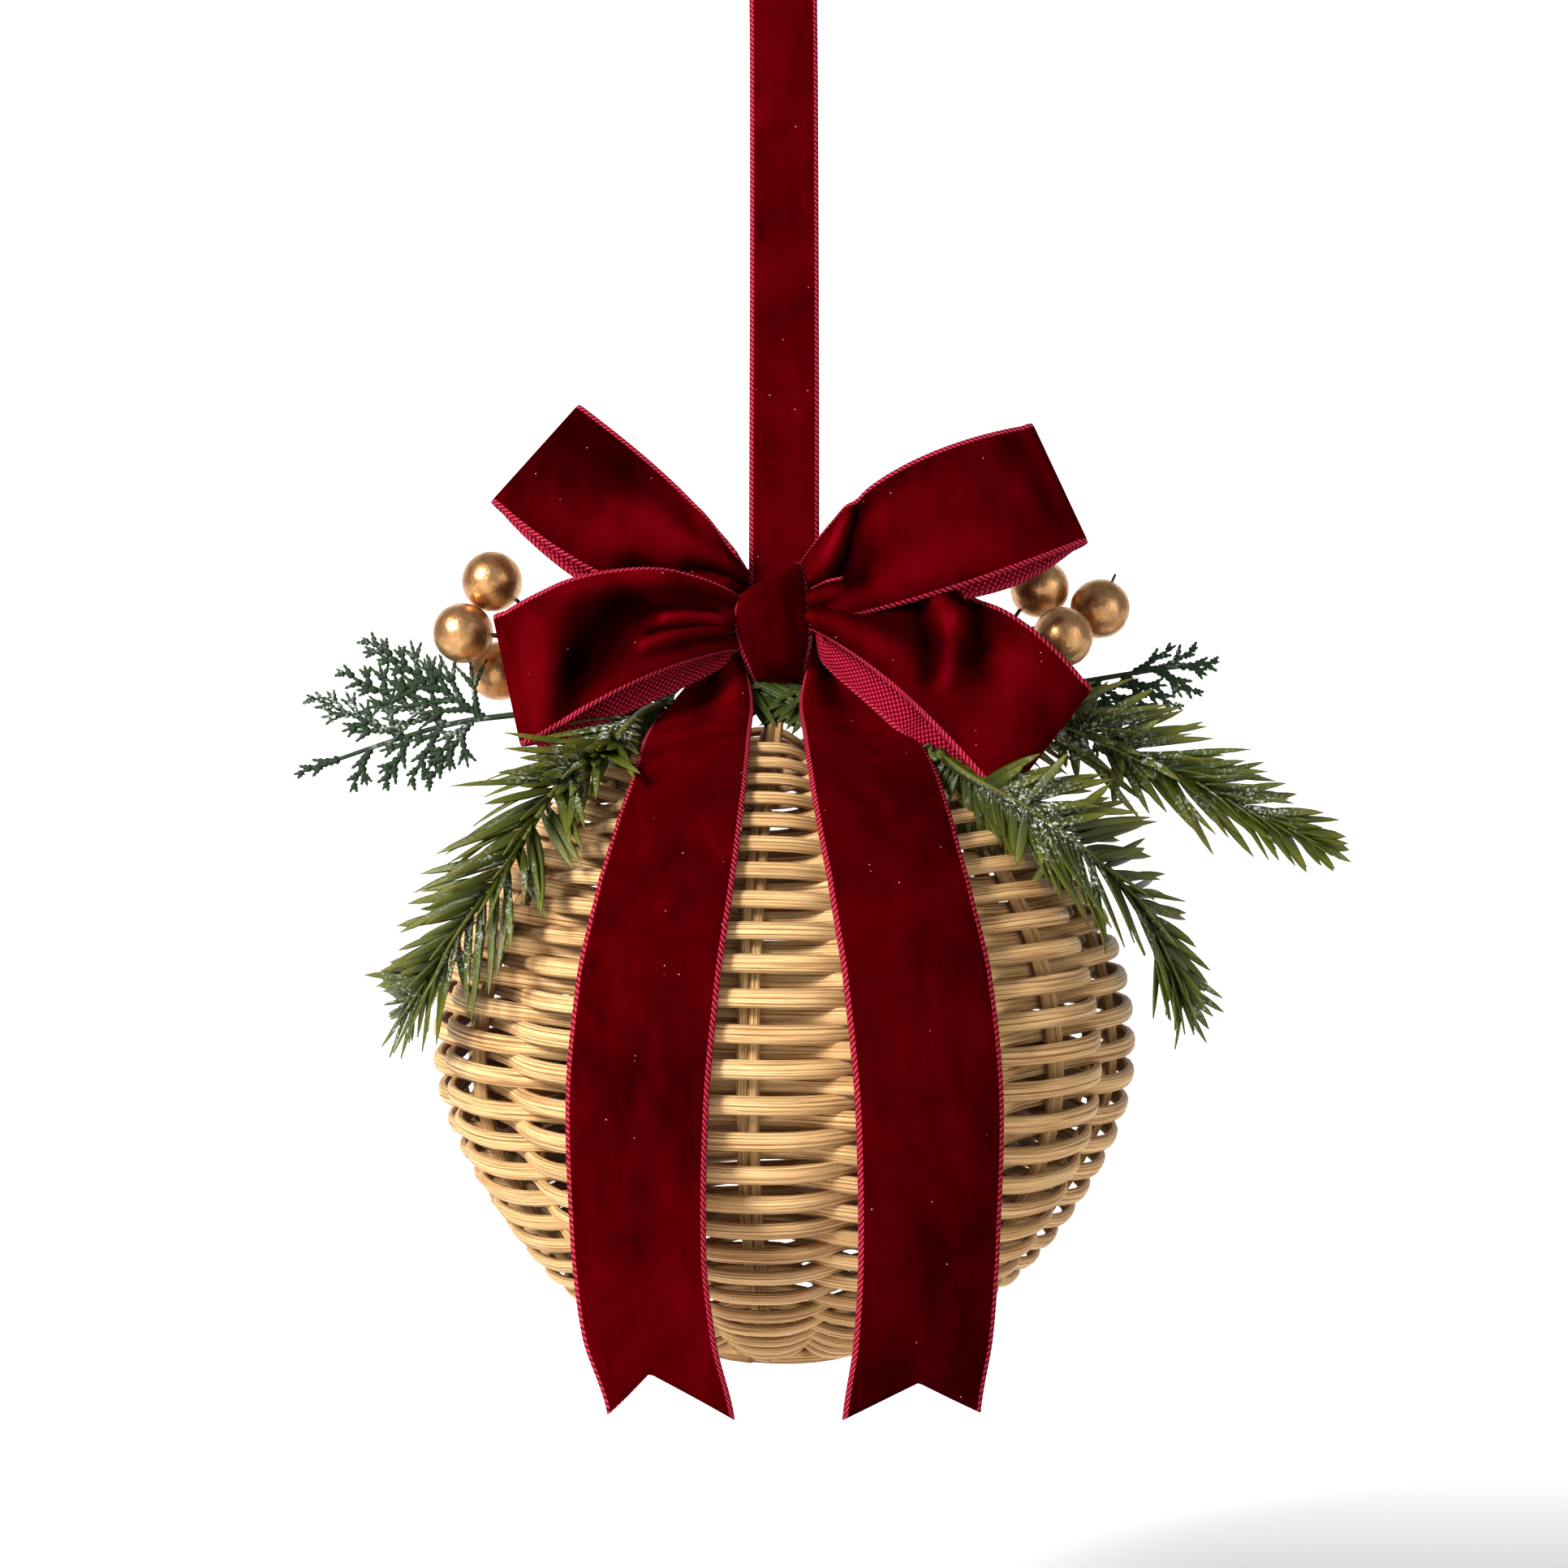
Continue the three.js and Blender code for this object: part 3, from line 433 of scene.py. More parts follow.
def across_places(width, cells):
    """Places across a ribbon: a selvedge at both edges and even cells between them."""
    inner = width - 2 * SELVEDGE_WIDTH
    places = [SELVEDGE_WIDTH + inner * k / cells for k in range(cells + 1)]
    return [0.0, *places, float(width)]


# Materials

class Graph:
    """One material and short calls that build its nodes."""

    def __init__(self, name, roughness=0.6, metallic=0.0):
        self.material = bpy.data.materials.new(name)
        self.material.use_nodes = True
        self.tree = self.material.node_tree
        self.shader = self.tree.nodes["Principled BSDF"]
        self.set(self.shader, "Roughness", roughness)
        self.set(self.shader, "Metallic", metallic)

    def set(self, node, name, value):
        socket = node.inputs[name]
        if isinstance(value, bpy.types.NodeSocket):
            self.tree.links.new(value, socket)
        else:
            socket.default_value = value

    def node(self, kind, inputs, output=0, **settings):
        node = self.tree.nodes.new(kind)
        for key, value in settings.items():
            setattr(node, key, value)
        for name, value in inputs.items():
            self.set(node, name, value)
        return node.outputs[output]

    def coords(self, kind):
        return self.node("ShaderNodeTexCoord", {}, output=kind)

    def stretched(self, vector, scale):
        return self.node("ShaderNodeMapping", {"Vector": vector, "Scale": scale})

    def noise(self, vector, scale, detail=3.0, roughness=0.55, distortion=0.0):
        return self.node("ShaderNodeTexNoise", {"Vector": vector, "Scale": scale, "Detail": detail,
                                                "Roughness": roughness, "Distortion": distortion})

    def ramp(self, value, stops):
        node = self.tree.nodes.new("ShaderNodeValToRGB")
        elements = node.color_ramp.elements
        while len(elements) < len(stops):
            elements.new(0.5)
        for element, (place_, colour) in zip(elements, stops):
            element.position = place_
            element.color = (*colour, 1)
        self.set(node, "Fac", value)
        return node.outputs["Color"]

    def level(self, value, low, high):
        """0 at low and 1 at high, which may be the lower number."""
        return self.node("ShaderNodeMapRange", {"Value": value, "From Min": low, "From Max": high})

    def math(self, operation, a, b=0.0):
        return self.node("ShaderNodeMath", {0: a, 1: b}, operation=operation)

    def plus(self, a, b):
        return self.math("ADD", a, b)

    def less(self, a, b):
        return self.math("SUBTRACT", a, b)

    def times(self, a, b):
        return self.math("MULTIPLY", a, b)

    def mix(self, share, a, b, blend_type="MIX"):
        node = self.tree.nodes.new("ShaderNodeMix")
        node.data_type = "RGBA"
        node.blend_type = blend_type
        for socket, value in zip([s for s in node.inputs if s.enabled], (share, a, b)):
            if isinstance(value, bpy.types.NodeSocket):
                self.tree.links.new(value, socket)
            else:
                socket.default_value = value if socket.name == "Factor" else (*value, 1)
        return [s for s in node.outputs if s.enabled][0]

    def parts(self, vector):
        node = self.tree.nodes.new("ShaderNodeSeparateXYZ")
        self.set(node, "Vector", vector)
        return node.outputs

    def wave(self, value, pitch, phase=0.0):
        """A sine from 0 to 1 along a coordinate."""
        angle = self.times(value, 2 * pi / pitch)
        sine = self.math("SINE", self.plus(angle, phase))
        return self.plus(self.times(sine, 0.5), 0.5)

    def bump(self, height, distance, strength):
        return self.node("ShaderNodeBump",
                         {"Height": height, "Distance": distance, "Strength": strength})

    def finish(self, colour, normal=None, roughness=None):
        self.set(self.shader, "Base Color", colour)
        if normal is not None:
            self.set(self.shader, "Normal", normal)
        if roughness is not None:
            self.set(self.shader, "Roughness", roughness)
        return self.material


def rattan(name, tint):
    """Peeled reed: fine fibres along it, paler and darker lengths, brown nodes here and there, and
    painted shade on the face that looks into the ball.
    """
    g = Graph(name, 0.5)
    uv = g.coords("UV")
    where = g.coords("Object")
    fibre = g.noise(g.stretched(uv, (0.3, 14, 1)), 1.0, 3.0, 0.6)
    thread = g.noise(g.stretched(uv, (0.2, 34, 1)), 1.0, 2.0, 0.5)
    patch = g.noise(g.stretched(where, (60, 60, 160)), 1.0, 2.0, 0.5)
    wide = g.noise(where, 22.0, 2.0, 0.5)
    pale, straw, amber, brown = ([c * t for c, t in zip(colour, tint)] for colour in (
        (0.92, 0.60, 0.28), (0.76, 0.42, 0.155), (0.42, 0.17, 0.042), (0.12, 0.038, 0.009)))
    colour = g.ramp(fibre, [(0.3, brown), (0.41, amber), (0.49, straw), (0.6, pale)])
    streak = g.ramp(thread, [(0.41, brown), (0.47, straw), (0.58, pale)])
    colour = g.mix(0.5, colour, streak)
    colour = g.mix(g.level(patch, 0.35, 0.75), colour, g.mix(0.5, colour, pale))
    colour = g.mix(g.times(g.level(wide, 0.5, 0.8), 0.35), colour, amber)
    sway = g.times(fibre, 0.12)
    groove = g.wave(g.plus(g.parts(uv)[1], sway), 0.085)
    groove = g.times(g.level(groove, 0.3, 0.0), g.level(thread, 0.62, 0.4))
    colour = g.mix(g.times(groove, 0.6), colour, amber)
    # Painted shade: the reed's face towards the inside of the ball is mixed towards brown.
    around = g.math("ABSOLUTE", g.less(g.parts(uv)[1], 0.5))
    inner = g.times(g.level(around, 0.24, 0.4), 0.72)
    colour = g.mix(inner, colour, brown)
    height = g.less(g.plus(fibre, thread), groove)
    normal = g.bump(height, 0.0007, 0.8)
    roughness = g.node("ShaderNodeMapRange", {"Value": fibre, "To Min": 0.62, "To Max": 0.42})
    g.set(g.shader, "Specular IOR Level", 0.22)
    return g.finish(colour, normal, roughness)


def velvet():
    """Deep red pile: brushed lighter and darker, with painted light on the ridges and painted shade
    in the hollows of its folds, a sheen and a few pale specks of dust.
    """
    g = Graph("velvet_pile", 1.0)
    where = g.coords("Object")
    nap = g.noise(where, 42.0, 3.0, 0.5, 0.5)
    brushed = g.noise(g.stretched(where, (1, 1, 0.4)), 150.0, 3.0, 0.6)
    pile = g.noise(where, 2600.0, 2.0, 0.6)
    # Painted light and shade: a value stored on each point lightens the ridges and darkens the
    # hollows of folds and gathers.
    painted_light = g.node("ShaderNodeAttribute", {}, output="Fac", attribute_name="painted_light")
    tone = g.plus(g.times(painted_light, 0.26), g.times(nap, 0.42))
    tone = g.plus(tone, g.times(brushed, 0.34))
    colour = g.ramp(tone, [(0.03, (0.005, 0.0, 0.0001)), (0.27, (0.023, 0.0, 0.0004)),
                           (0.43, (0.058, 0.0, 0.001)), (0.63, (0.108, 0.0003, 0.0024)),
                           (0.89, (0.19, 0.0015, 0.006))])
    cells = g.tree.nodes.new("ShaderNodeTexVoronoi")
    g.set(cells, "Vector", where)
    g.set(cells, "Scale", 320.0)
    near = g.math("LESS_THAN", cells.outputs["Distance"], 0.05)
    rare = g.math("GREATER_THAN", g.parts(cells.outputs["Color"])[0], 0.8)
    speck = g.times(near, rare)
    colour = g.mix(speck, colour, (0.62, 0.25, 0.2))
    g.set(g.shader, "Sheen Weight", 0.55)
    g.set(g.shader, "Sheen Roughness", 0.3)
    g.set(g.shader, "Sheen Tint", (0.36, 0.0, 0.004, 1))
    g.set(g.shader, "Specular IOR Level", 0.0)
    height = g.plus(pile, g.times(brushed, 1.5))
    return g.finish(colour, g.bump(height, 0.00025, 0.5))


def selvedge():
    """Woven edge: bright crimson cord with a pale stitch at every turn."""
    g = Graph("velvet_selvedge", 0.65)
    parts = g.parts(g.coords("UV"))
    twist = g.wave(g.plus(parts[1], g.times(parts[0], 0.9)), 0.125)
    grain = g.noise(g.coords("UV"), 60.0, 2.0)
    colour = g.ramp(twist, [(0.15, (0.09, 0.0, 0.003)), (0.5, (0.34, 0.001, 0.018)),
                            (0.95, (0.74, 0.035, 0.09))])
    colour = g.mix(g.times(g.level(grain, 0.5, 0.7), 0.35), colour, (0.7, 0.12, 0.14))
    g.set(g.shader, "Specular IOR Level", 0.05)
    return g.finish(colour, g.bump(twist, 0.0005, 0.9))


def woven_back():
    """Back of the ribbon: a plain basket weave of crimson threads."""
    g = Graph("ribbon_back", 0.75)
    parts = g.parts(g.coords("UV"))
    pitch = 0.15
    warp = g.wave(parts[0], pitch)
    weft = g.wave(parts[1], pitch)
    over = g.times(warp, weft)
    under = g.times(g.less(1.0, warp), g.less(1.0, weft))
    thread = g.math("MAXIMUM", over, under)
    grain = g.noise(g.coords("UV"), 45.0, 3.0)
    colour = g.ramp(thread, [(0.1, (0.06, 0.0, 0.002)), (0.45, (0.30, 0.001, 0.017)),
                             (0.95, (0.74, 0.04, 0.095))])
    colour = g.mix(g.times(grain, 0.25), colour, (0.36, 0.002, 0.024))
    g.set(g.shader, "Specular IOR Level", 0.05)
    return g.finish(colour, g.bump(thread, 0.0006, 0.9))


def leaf(name, dark, fresh, tip, frost_start, roughness=0.5):
    """Moulded leaf: darker at the root, paler towards the tip, with patches of white frost."""
    g = Graph(name, roughness)
    parts = g.parts(g.coords("UV"))
    where = g.coords("Object")
    tone = g.noise(where, 70.0, 2.0)
    colour = g.ramp(parts[1], [(0.0, dark), (0.55, fresh), (1.0, tip)])
    colour = g.mix(g.times(tone, 0.6), colour, dark)
    clump = g.noise(where, 60.0, 2.0)
    crust = g.noise(where, 1100.0, 3.0, 0.7)
    frost = g.times(g.level(clump, frost_start, frost_start + 0.16),
                   g.level(crust, 0.54, 0.57))
    frost = g.times(frost, g.level(parts[1], 0.95, 0.35))
    colour = g.mix(frost, colour, (0.72, 0.76, 0.68))
    normal = g.bump(g.plus(crust, g.times(frost, 1.2)), 0.0004, 0.5)
    rough = g.node("ShaderNodeMapRange", {"Value": frost, "To Min": roughness, "To Max": 0.85})
    g.set(g.shader, "Specular IOR Level", 0.3)
    return g.finish(colour, normal, rough)


def gold():
    """Antique gold paint: satin metal with brown mottling."""
    g = Graph("antique_gold", 0.4, 0.95)
    where = g.coords("Object")
    mottle = g.noise(where, 190.0, 4.0, 0.65)
    fine = g.noise(where, 900.0, 2.0)
    colour = g.ramp(mottle, [(0.3, (0.38, 0.17, 0.064)), (0.5, (0.58, 0.30, 0.122)),
                             (0.7, (0.80, 0.49, 0.24))])
    rough = g.node("ShaderNodeMapRange", {"Value": mottle, "To Min": 0.40, "To Max": 0.30})
    normal = g.bump(g.plus(fine, g.times(mottle, 0.3)), 0.0003, 0.4)
    return g.finish(colour, normal, rough)


def wrapped_wire():
    """Thin wire wrapped in brown paper tape."""
    g = Graph("wrapped_wire", 0.7)
    parts = g.parts(g.coords("UV"))
    turns = g.wave(g.plus(parts[0], g.times(parts[1], 0.2)), 0.2)
    colour = g.ramp(turns, [(0.2, (0.03, 0.02, 0.008)), (0.9, (0.13, 0.085, 0.035))])
    return g.finish(colour, g.bump(turns, 0.0004, 0.7))


def pale_floor():
    """Matt white floor, whose far part glows so that it stays white behind the ornament."""
    g = Graph("pale_floor", 0.9)
    tone = g.noise(g.coords("Object"), 3.0, 2.0)
    g.set(g.shader, "Emission Color", (1, 1, 1, 1))
    away = g.level(g.parts(g.coords("Object"))[1], 0.05, 0.45)
    g.set(g.shader, "Emission Strength", g.times(away, 0.7))
    return g.finish(g.ramp(tone, [(0.3, (0.88, 0.88, 0.875)), (0.7, (0.9, 0.9, 0.895))]))


REED = rattan("rattan_reed", (1, 1, 1))
STAKE_REED = rattan("rattan_stake", (0.95, 0.92, 0.88))
RIBBON = [velvet(), selvedge(), woven_back()]
NEEDLE = leaf("frosted_needle", (0.014, 0.020, 0.001), (0.068, 0.082, 0.004),
              (0.17, 0.165, 0.016), 0.52, 0.36)
CEDAR = leaf("frosted_cedar", (0.006, 0.018, 0.005), (0.014, 0.036, 0.010),
             (0.032, 0.060, 0.018), 0.49, 0.66)
SMOOTH_LEAF = leaf("smooth_leaf", (0.014, 0.022, 0.004), (0.045, 0.065, 0.012),
                   (0.09, 0.11, 0.03), 0.66, 0.35)
TWIG = wrapped_wire()
GOLD = gold()


# Woven ball

def reed_scale(radius):
    return POLE_SHARE + (1 - POLE_SHARE) * radius / BALL_RADIUS


def stake_turn(count):
    return FIRST_STAKE_TURN + 2 * pi * count / STAKES


def place(radius, turn, z):
    return Vector((radius * sin(turn), -radius * cos(turn), z))


def tipped(points, share=1.0):
    """The points turned with the ball, whose top leans towards the viewer."""
    turn = Matrix.Rotation(share * BALL_TILT, 3, "X")
    centre = Vector((0, 0, level(0)))
    return [centre + turn @ (point - centre) for point in points]


def weave_offsets(radius):
    """How far the weaver's middle stands outside and inside the stakes that it passes."""
    scale = reed_scale(radius)
    span = radius * sin(2 * pi / STAKES)
    bend = tan(pi / STAKES)

    def offset(slope):
        return (STAKE_THICKNESS * scale / 2 + WEAVE_CLEARANCE
                + WEAVER_THICKNESS * scale / 2 * hypot(1, slope) + STAKE_WIDTH * scale / 2 * slope)

    outside, inside = offset(bend), offset(0)
    for _ in range(4):
        climb = (outside + inside) / span
        outside, inside = offset(climb + bend), offset(max(0, climb - bend))
    return outside, inside


WALL_INSET = weave_offsets(BALL_RADIUS)[0] + WEAVER_THICKNESS / 2
WALL_RADIUS = BALL_RADIUS - WALL_INSET


def radius_at(latitude):
    hollow = 0
    if -FLANK_HOLLOW_LATITUDE < latitude < 0:
        hollow = FLANK_HOLLOW * sin(pi * latitude / FLANK_HOLLOW_LATITUDE) ** 2
    return WALL_RADIUS * cos(latitude) - hollow


def wall_at(latitude):
    """Radius, height, outward direction and reach of the stakes' middle surface."""
    height = (BALL_RISE if latitude > 0 else BALL_FALL) - WALL_INSET
    tiny = 1e-4
    out = height * cos(latitude)
    up = (radius_at(latitude - tiny) - radius_at(latitude + tiny)) / (2 * tiny)
    reach = hypot(out, up)
    return radius_at(latitude), level(height * sin(latitude)), out / reach, up / reach, reach


def outer_radius_at(height):
    reach = BALL_RISE if height > 0 else BALL_FALL
    return BALL_RADIUS * sqrt(max(0, 1 - (height / reach) ** 2))


def weaver_latitudes():
    def step(latitude):
        radius, *_, reach = wall_at(latitude)
        return (WEAVER_HEIGHT + ROW_GAP) * reed_scale(radius) / (STAKES * reach)

    above = [WEAVER_MIDDLE_LATITUDE]
    while above[0] < WEAVER_TOP_LATITUDE:
        above.insert(0, above[0] + step(above[0]))
    below = []
    latitude = WEAVER_MIDDLE_LATITUDE
    while latitude > WEAVER_BOTTOM_LATITUDE:
        latitude -= step(latitude)
        below.append(latitude)
    return above + below, len(above) - 1


def make_weaver():
    """One reed that spirals down the ball, outside one stake and inside the next."""
    latitudes, middle = weaver_latitudes()
    centres, faces, ups, sizes = [], [], [], []
    for k in range((len(latitudes) - 1) * WEAVER_STEPS + 1):
        count = k / WEAVER_STEPS
        latitude = spline(latitudes, count / (len(latitudes) - 1))
        radius, z, out, up, _ = wall_at(latitude)
        turn = stake_turn(count - middle)
        outside, inside = weave_offsets(radius)
        swing = cos(pi * (count - middle))
        swing = blend(swing, swing * (1.5 - 0.5 * swing * swing), 0.75)
        offset = (outside - inside) / 2 + (outside + inside) / 2 * swing
        outward = place(out, turn, up)
        upward = place(-up, turn, out)
        waver = noise.noise(Vector((count * 0.33, 4.1, 0)))
        tilt = 0.16 * noise.noise(Vector((count * 0.21, 0, 7.7)))
        settled = 0.34 * waver - 0.5 * sin(latitude) * offset
        centres.append(place(radius, turn, z) + outward * offset + upward * settled)
        faces.append(outward + upward * tilt)
        ups.append(upward)
        scale = reed_scale(radius)
        swell = 1 + 0.09 * noise.noise(Vector((count * 0.17, 9, 2)))
        sizes.append((WEAVER_HEIGHT * scale * 1.27 * swell, WEAVER_THICKNESS * scale))
    rings = []
    for k, centre in enumerate(centres):
        run = run_at(centres, k)
        face = (faces[k] - run * faces[k].dot(run)).normalized()
        side = face.cross(run)
        if side.dot(ups[k]) < 0:
            side.negate()
        rings.append(tipped(oval(centre, side, face, *sizes[k])))
    body = Body()
    body.sweep(rings, run_lengths(centres))
    body.made("woven_reed", [REED], "rattan_weaver")


def stake_points(steps=40):
    """Radius, z and share of the tilt along a stake, from the base into the neck."""
    path = []
    for k in range(steps + 1):
        latitude = blend(STAKE_BOTTOM_LATITUDE, STAKE_SHOULDER_LATITUDE, k / steps)
        radius, z, *_ = wall_at(latitude)
        path.append(Vector((radius, z, 1)))
    radius, z, _ = path[-1]
    halfway = (blend(NECK_RADIUS, radius, NECK_CURVE), (z + level(NECK_FOOT)) / 2, 0.5)
    bend = [path[-1], Vector(halfway), Vector((NECK_RADIUS, level(NECK_FOOT), 0)),
            Vector((NECK_RADIUS, level(NECK_TOP), 0))]
    path += [spline(bend, k / 12) for k in range(1, 13)]
    return path


def make_stakes():
    """Every stake is a pair of reeds side by side."""
    path = stake_points()
    for count in range(STAKES):
        turn = stake_turn(count)
        sideways = Vector((cos(turn), sin(turn), 0))
        body = Body()
        for hand in (-1, 1):
            rings, centres = [], []
            for k, (radius, z, share) in enumerate(path):
                run = run_at(path, k)
                scale = reed_scale(radius)
                room = 2 * (radius - STAKE_THICKNESS * scale / 2) * tan(pi / STAKES) - 0.4
                width = min(STAKE_WIDTH * scale, room)
                waver = noise.noise(Vector((k * 0.13, count * 3.7, hand)))
                outward = place(run.y, turn, -run.x)
                centre = (place(radius, turn, z) + sideways * (hand * width / 4 + 0.12 * waver)
                          + outward * (0.1 * waver * hand))
                centres.append(centre)
                rings.append(tipped(oval(centre, sideways, outward, width / 2 * 1.04,
                                         STAKE_THICKNESS * scale * 1.08, 9, 0.85), share))
            lengths = [length + 3.1 * count + 1.7 * hand for length in run_lengths(centres)]
            body.sweep(rings, lengths)
        body.made("stake_pair_%02d" % (count + 1), [STAKE_REED], "stake_%02d" % (count + 1))


def make_base():
    """A flat coil of reed that closes the underside."""
    rim = radius_at(STAKE_BOTTOM_LATITUDE) - 0.6
    reed_width = 3.6
    turns = (rim - reed_width / 2) / reed_width
    centres, rings = [], []
    steps = int(turns * 28)
    for k in range(steps + 1):
        angle = 2 * pi * turns * k / steps
        radius = max(0.4, reed_width * angle / (2 * pi))
        height = -BALL_FALL * sqrt(1 - (radius / BALL_RADIUS) ** 2) + reed_width * 0.52
        centres.append(Vector((radius * cos(angle), radius * sin(angle), level(height))))
    for k, centre in enumerate(centres):
        run = run_at(centres, k)
        side = run.cross(Vector((0, 0, 1))).normalized()
        rings.append(oval(centre, side, side.cross(run), reed_width * 0.98, 3.2))
    body = Body()
    body.sweep(rings, run_lengths(centres))
    lid = []
    for share in (0.02, 0.5, 1.0):
        ring = []
        for k in range(40):
            angle = 2 * pi * k / 40
            ring.append(Vector((rim * share * cos(angle), rim * share * sin(angle),
                                level(-BALL_FALL + BASE_THICKNESS + 2.2 * share * share))))
        lid.append(ring)
    body.sweep(lid + [[p - Vector((0, 0, 1.6)) for p in ring] for ring in reversed(lid)],
               [0, 1, 2, 2.2, 3, 4])
    body.points = tipped(body.points)
    body.made("coiled_base", [REED], "rattan_base")


# Ribbons

def cloth(name, node, rows, across, painted_light=None, facing=FRONT, **cut):
    """A finished ribbon round rows of points; cut, the ribbon's cut size and how it is held, is not
    used.
    """
    body = Body()
    body.ribbon(rows, across, facing, painted_light)
    body.made(name, RIBBON, node)


def hang_ribbon():
    """The hanging loop: up in front, over the hook and down behind."""
    foot = WRAP_RADIUS
    turn_radius = HANGER_INNER_RADIUS + PILE_THICKNESS / 2
    bottom = level(WRAP_TOP) + 0.4
    half = [(foot, bottom), (13.9, bottom * 0.76), (8.5, bottom * 0.38), (5.9, bottom * 0.12),
            (turn_radius, -turn_radius)]
    path = [Vector(p) for p in half]
    strand = [spline(path, k / 36) for k in range(37)]
    over = [Vector((turn_radius * cos(pi * k / 14), -turn_radius + (turn_radius + 0.5) *
                    sin(pi * k / 14))) for k in range(1, 14)]
    line = strand + over + [Vector((-p.x, p.y)) for p in reversed(strand)]
    across = across_places(HANGER_WIDTH, 10)
    rows = []
    for k, (y, z) in enumerate(line):
        sway = 0.5 * sin(k * 0.11 + 0.6)
        rows.append([Vector((a - HANGER_WIDTH / 2 + sway * 0.4 * sin(pi * k / len(line)),
                             -y - 0.35 * sin(pi * a / HANGER_WIDTH) * (1 if k < 43 else -1), z))
                     for a in across])
    cloth("hanging_ribbon", "hanger_ribbon", rows, across, [[0.3] * len(across)] * len(rows),
          flat=(HANGER_WIDTH * MM, 0.322), held="hung", rests_on=["neck_band"])


def band_ribbon():
    """The band that ties the bow and the hanging loop to the stakes."""
    across = across_places(WRAP_HEIGHT, 8)
    rows = []
    steps = 72
    for k in range(steps + 1):
        turn = 2 * pi * k / steps
        rows.append([])
        for a in across:
            fold = 0.45 * sin(2.2 * a / 3 + 1.5 * sin(2 * turn)) + 0.25 * sin(5 * turn)
            radius = WRAP_RADIUS + fold * 0.6
            rows[-1].append(place(radius, turn + pi, level(WRAP_TOP) - a * 0.98))
    cloth("neck_band", "neck_wrap", rows, across, facing=-FRONT,
          flat=(WRAP_HEIGHT * MM, 0.091), held="gathered", rests_on=["stake_01"])


def knot_ribbon():
    """The knot: a ribbon folded lengthwise and wrapped over the middle of the bow."""
    lefts = [Vector(row[0]) for row in KNOT_LEVELS]
    rights = [Vector(row[1]) for row in KNOT_LEVELS]
    bulges = [row[2] for row in KNOT_LEVELS]
    across = across_places(KNOT_WIDTH, 18)
    rows = []
    steps = 44
    for k in range(steps + 1):
        share = k / steps
        left, right = spline(lefts, share), spline(rights, share)
        bulge = max(0.0, spline(bulges, share))
        row = []
        for a in across:
            part = a / KNOT_WIDTH
            x, height = left.lerp(right, part)
            swell = max(0.0, sin(pi * (0.07 + 0.86 * part))) ** 0.7
            crease = (0.55 * sin(pi * share) * sin(2 * pi * (1.6 * part + 0.25 * share) + 0.5)
                      + 0.5 * sin(pi * share) * sin(2 * pi * (3.1 * part - 0.4 * share)))
            dent = 0.9 * ease(1 - abs(part - 0.3 - 0.12 * share) / 0.1) * sin(pi * share)
            y = -KNOT_BACK - KNOT_DEPTH * bulge * swell + crease * 0.7 + dent
            row.append(Vector((x, y, level(height))))
        rows.append(row)
    cloth("knot_band", "bow_knot", rows, across,
          flat=(0.018, 0.04), held="folded", rests_on=["neck_band"])


def loop_point(loop, share, across, fold):
    """A point of a bow loop; fold is 0 on the front layer and 1 on the rear one."""
    tip_turn = radians(loop["turns"][1])
    outward = Vector((sin(tip_turn), -cos(tip_turn)))
    side = 1 if outward.x * loop["tip"][0] > 0 else -1
    tip = Vector(loop["tip"]) - outward * (side * LOOP_FOLD_RADIUS)
    centre = through(Vector(loop["root"]), Vector(loop["belly"]), tip, share)
    held = clamp(share)
    depth = through(*loop["depths"], held)
    width = max(0.2, through(*loop["widths"], share)) * RIBBON_WIDTH
    gap = through(*LOOP_GAPS, held)
    turn = radians(blend(*loop["turns"], sin(held * pi / 2)))
    spread = sin(clamp(held / GATHER_REACH) * pi / 2)
    bulge = side * LOOP_FOLD_RADIUS * sin(pi * fold)
    drop = fold * loop["rear_drop"] * sin(pi * held ** loop["drop_place"]) ** loop["drop_shape"]
    depth -= 70 * max(0.0, -share)
    loose = clamp(1 - held / 0.95)
    pleat = loop["pleat_depth"] * loose ** 1.3
    dents = loop["cup"] * (4 * across * across - 0.33) * sin(pi * held)
    # Painted light on the ridges of the folds and painted shade in their hollows.
    bright = 0
    for start, end, reach, height, painted_light in loop["folds"]:
        near = exp(-(way_off((held, across), start, end) / reach) ** 2)
        dents += height * near
        bright += painted_light * near
    wave = sin(2 * pi * loop["pleats"] * (across + 0.5) + loop["phase"] + 0.8 * held)
    ripple = noise.noise(Vector((share * 2.2, across * 2.4, loop["phase"] * 5)))
    point = Vector((
        centre.x + across * width * cos(turn) + bulge * outward.x,
        -depth + loop["lean"] * across * spread + gap * (1 - cos(pi * fold)) / 2
        + pleat * wave + ripple * sin(pi * held) + dents * (1 - 0.6 * fold),
        level(centre.y + across * width * sin(turn) + bulge * outward.y - drop),
    ))
    # Pleat hollows get painted shade and pleat crests painted light; the rear layer gets less of
    # both.
    return point, clamp(bright - 0.5 * loose * wave, -1.5, 1.5) * (1 - 0.6 * fold)


def way_off(place_, start, end):
    """Distance in mm of a place on a loop from a line on it."""
    size = (LOOP_LENGTH, RIBBON_WIDTH)
    point, a, b = (Vector((p[0] * size[0], p[1] * size[1])) for p in (place_, start, end))
    run = b - a
    share = clamp((point - a).dot(run) / run.length_squared)
    return (point - a - run * share).length


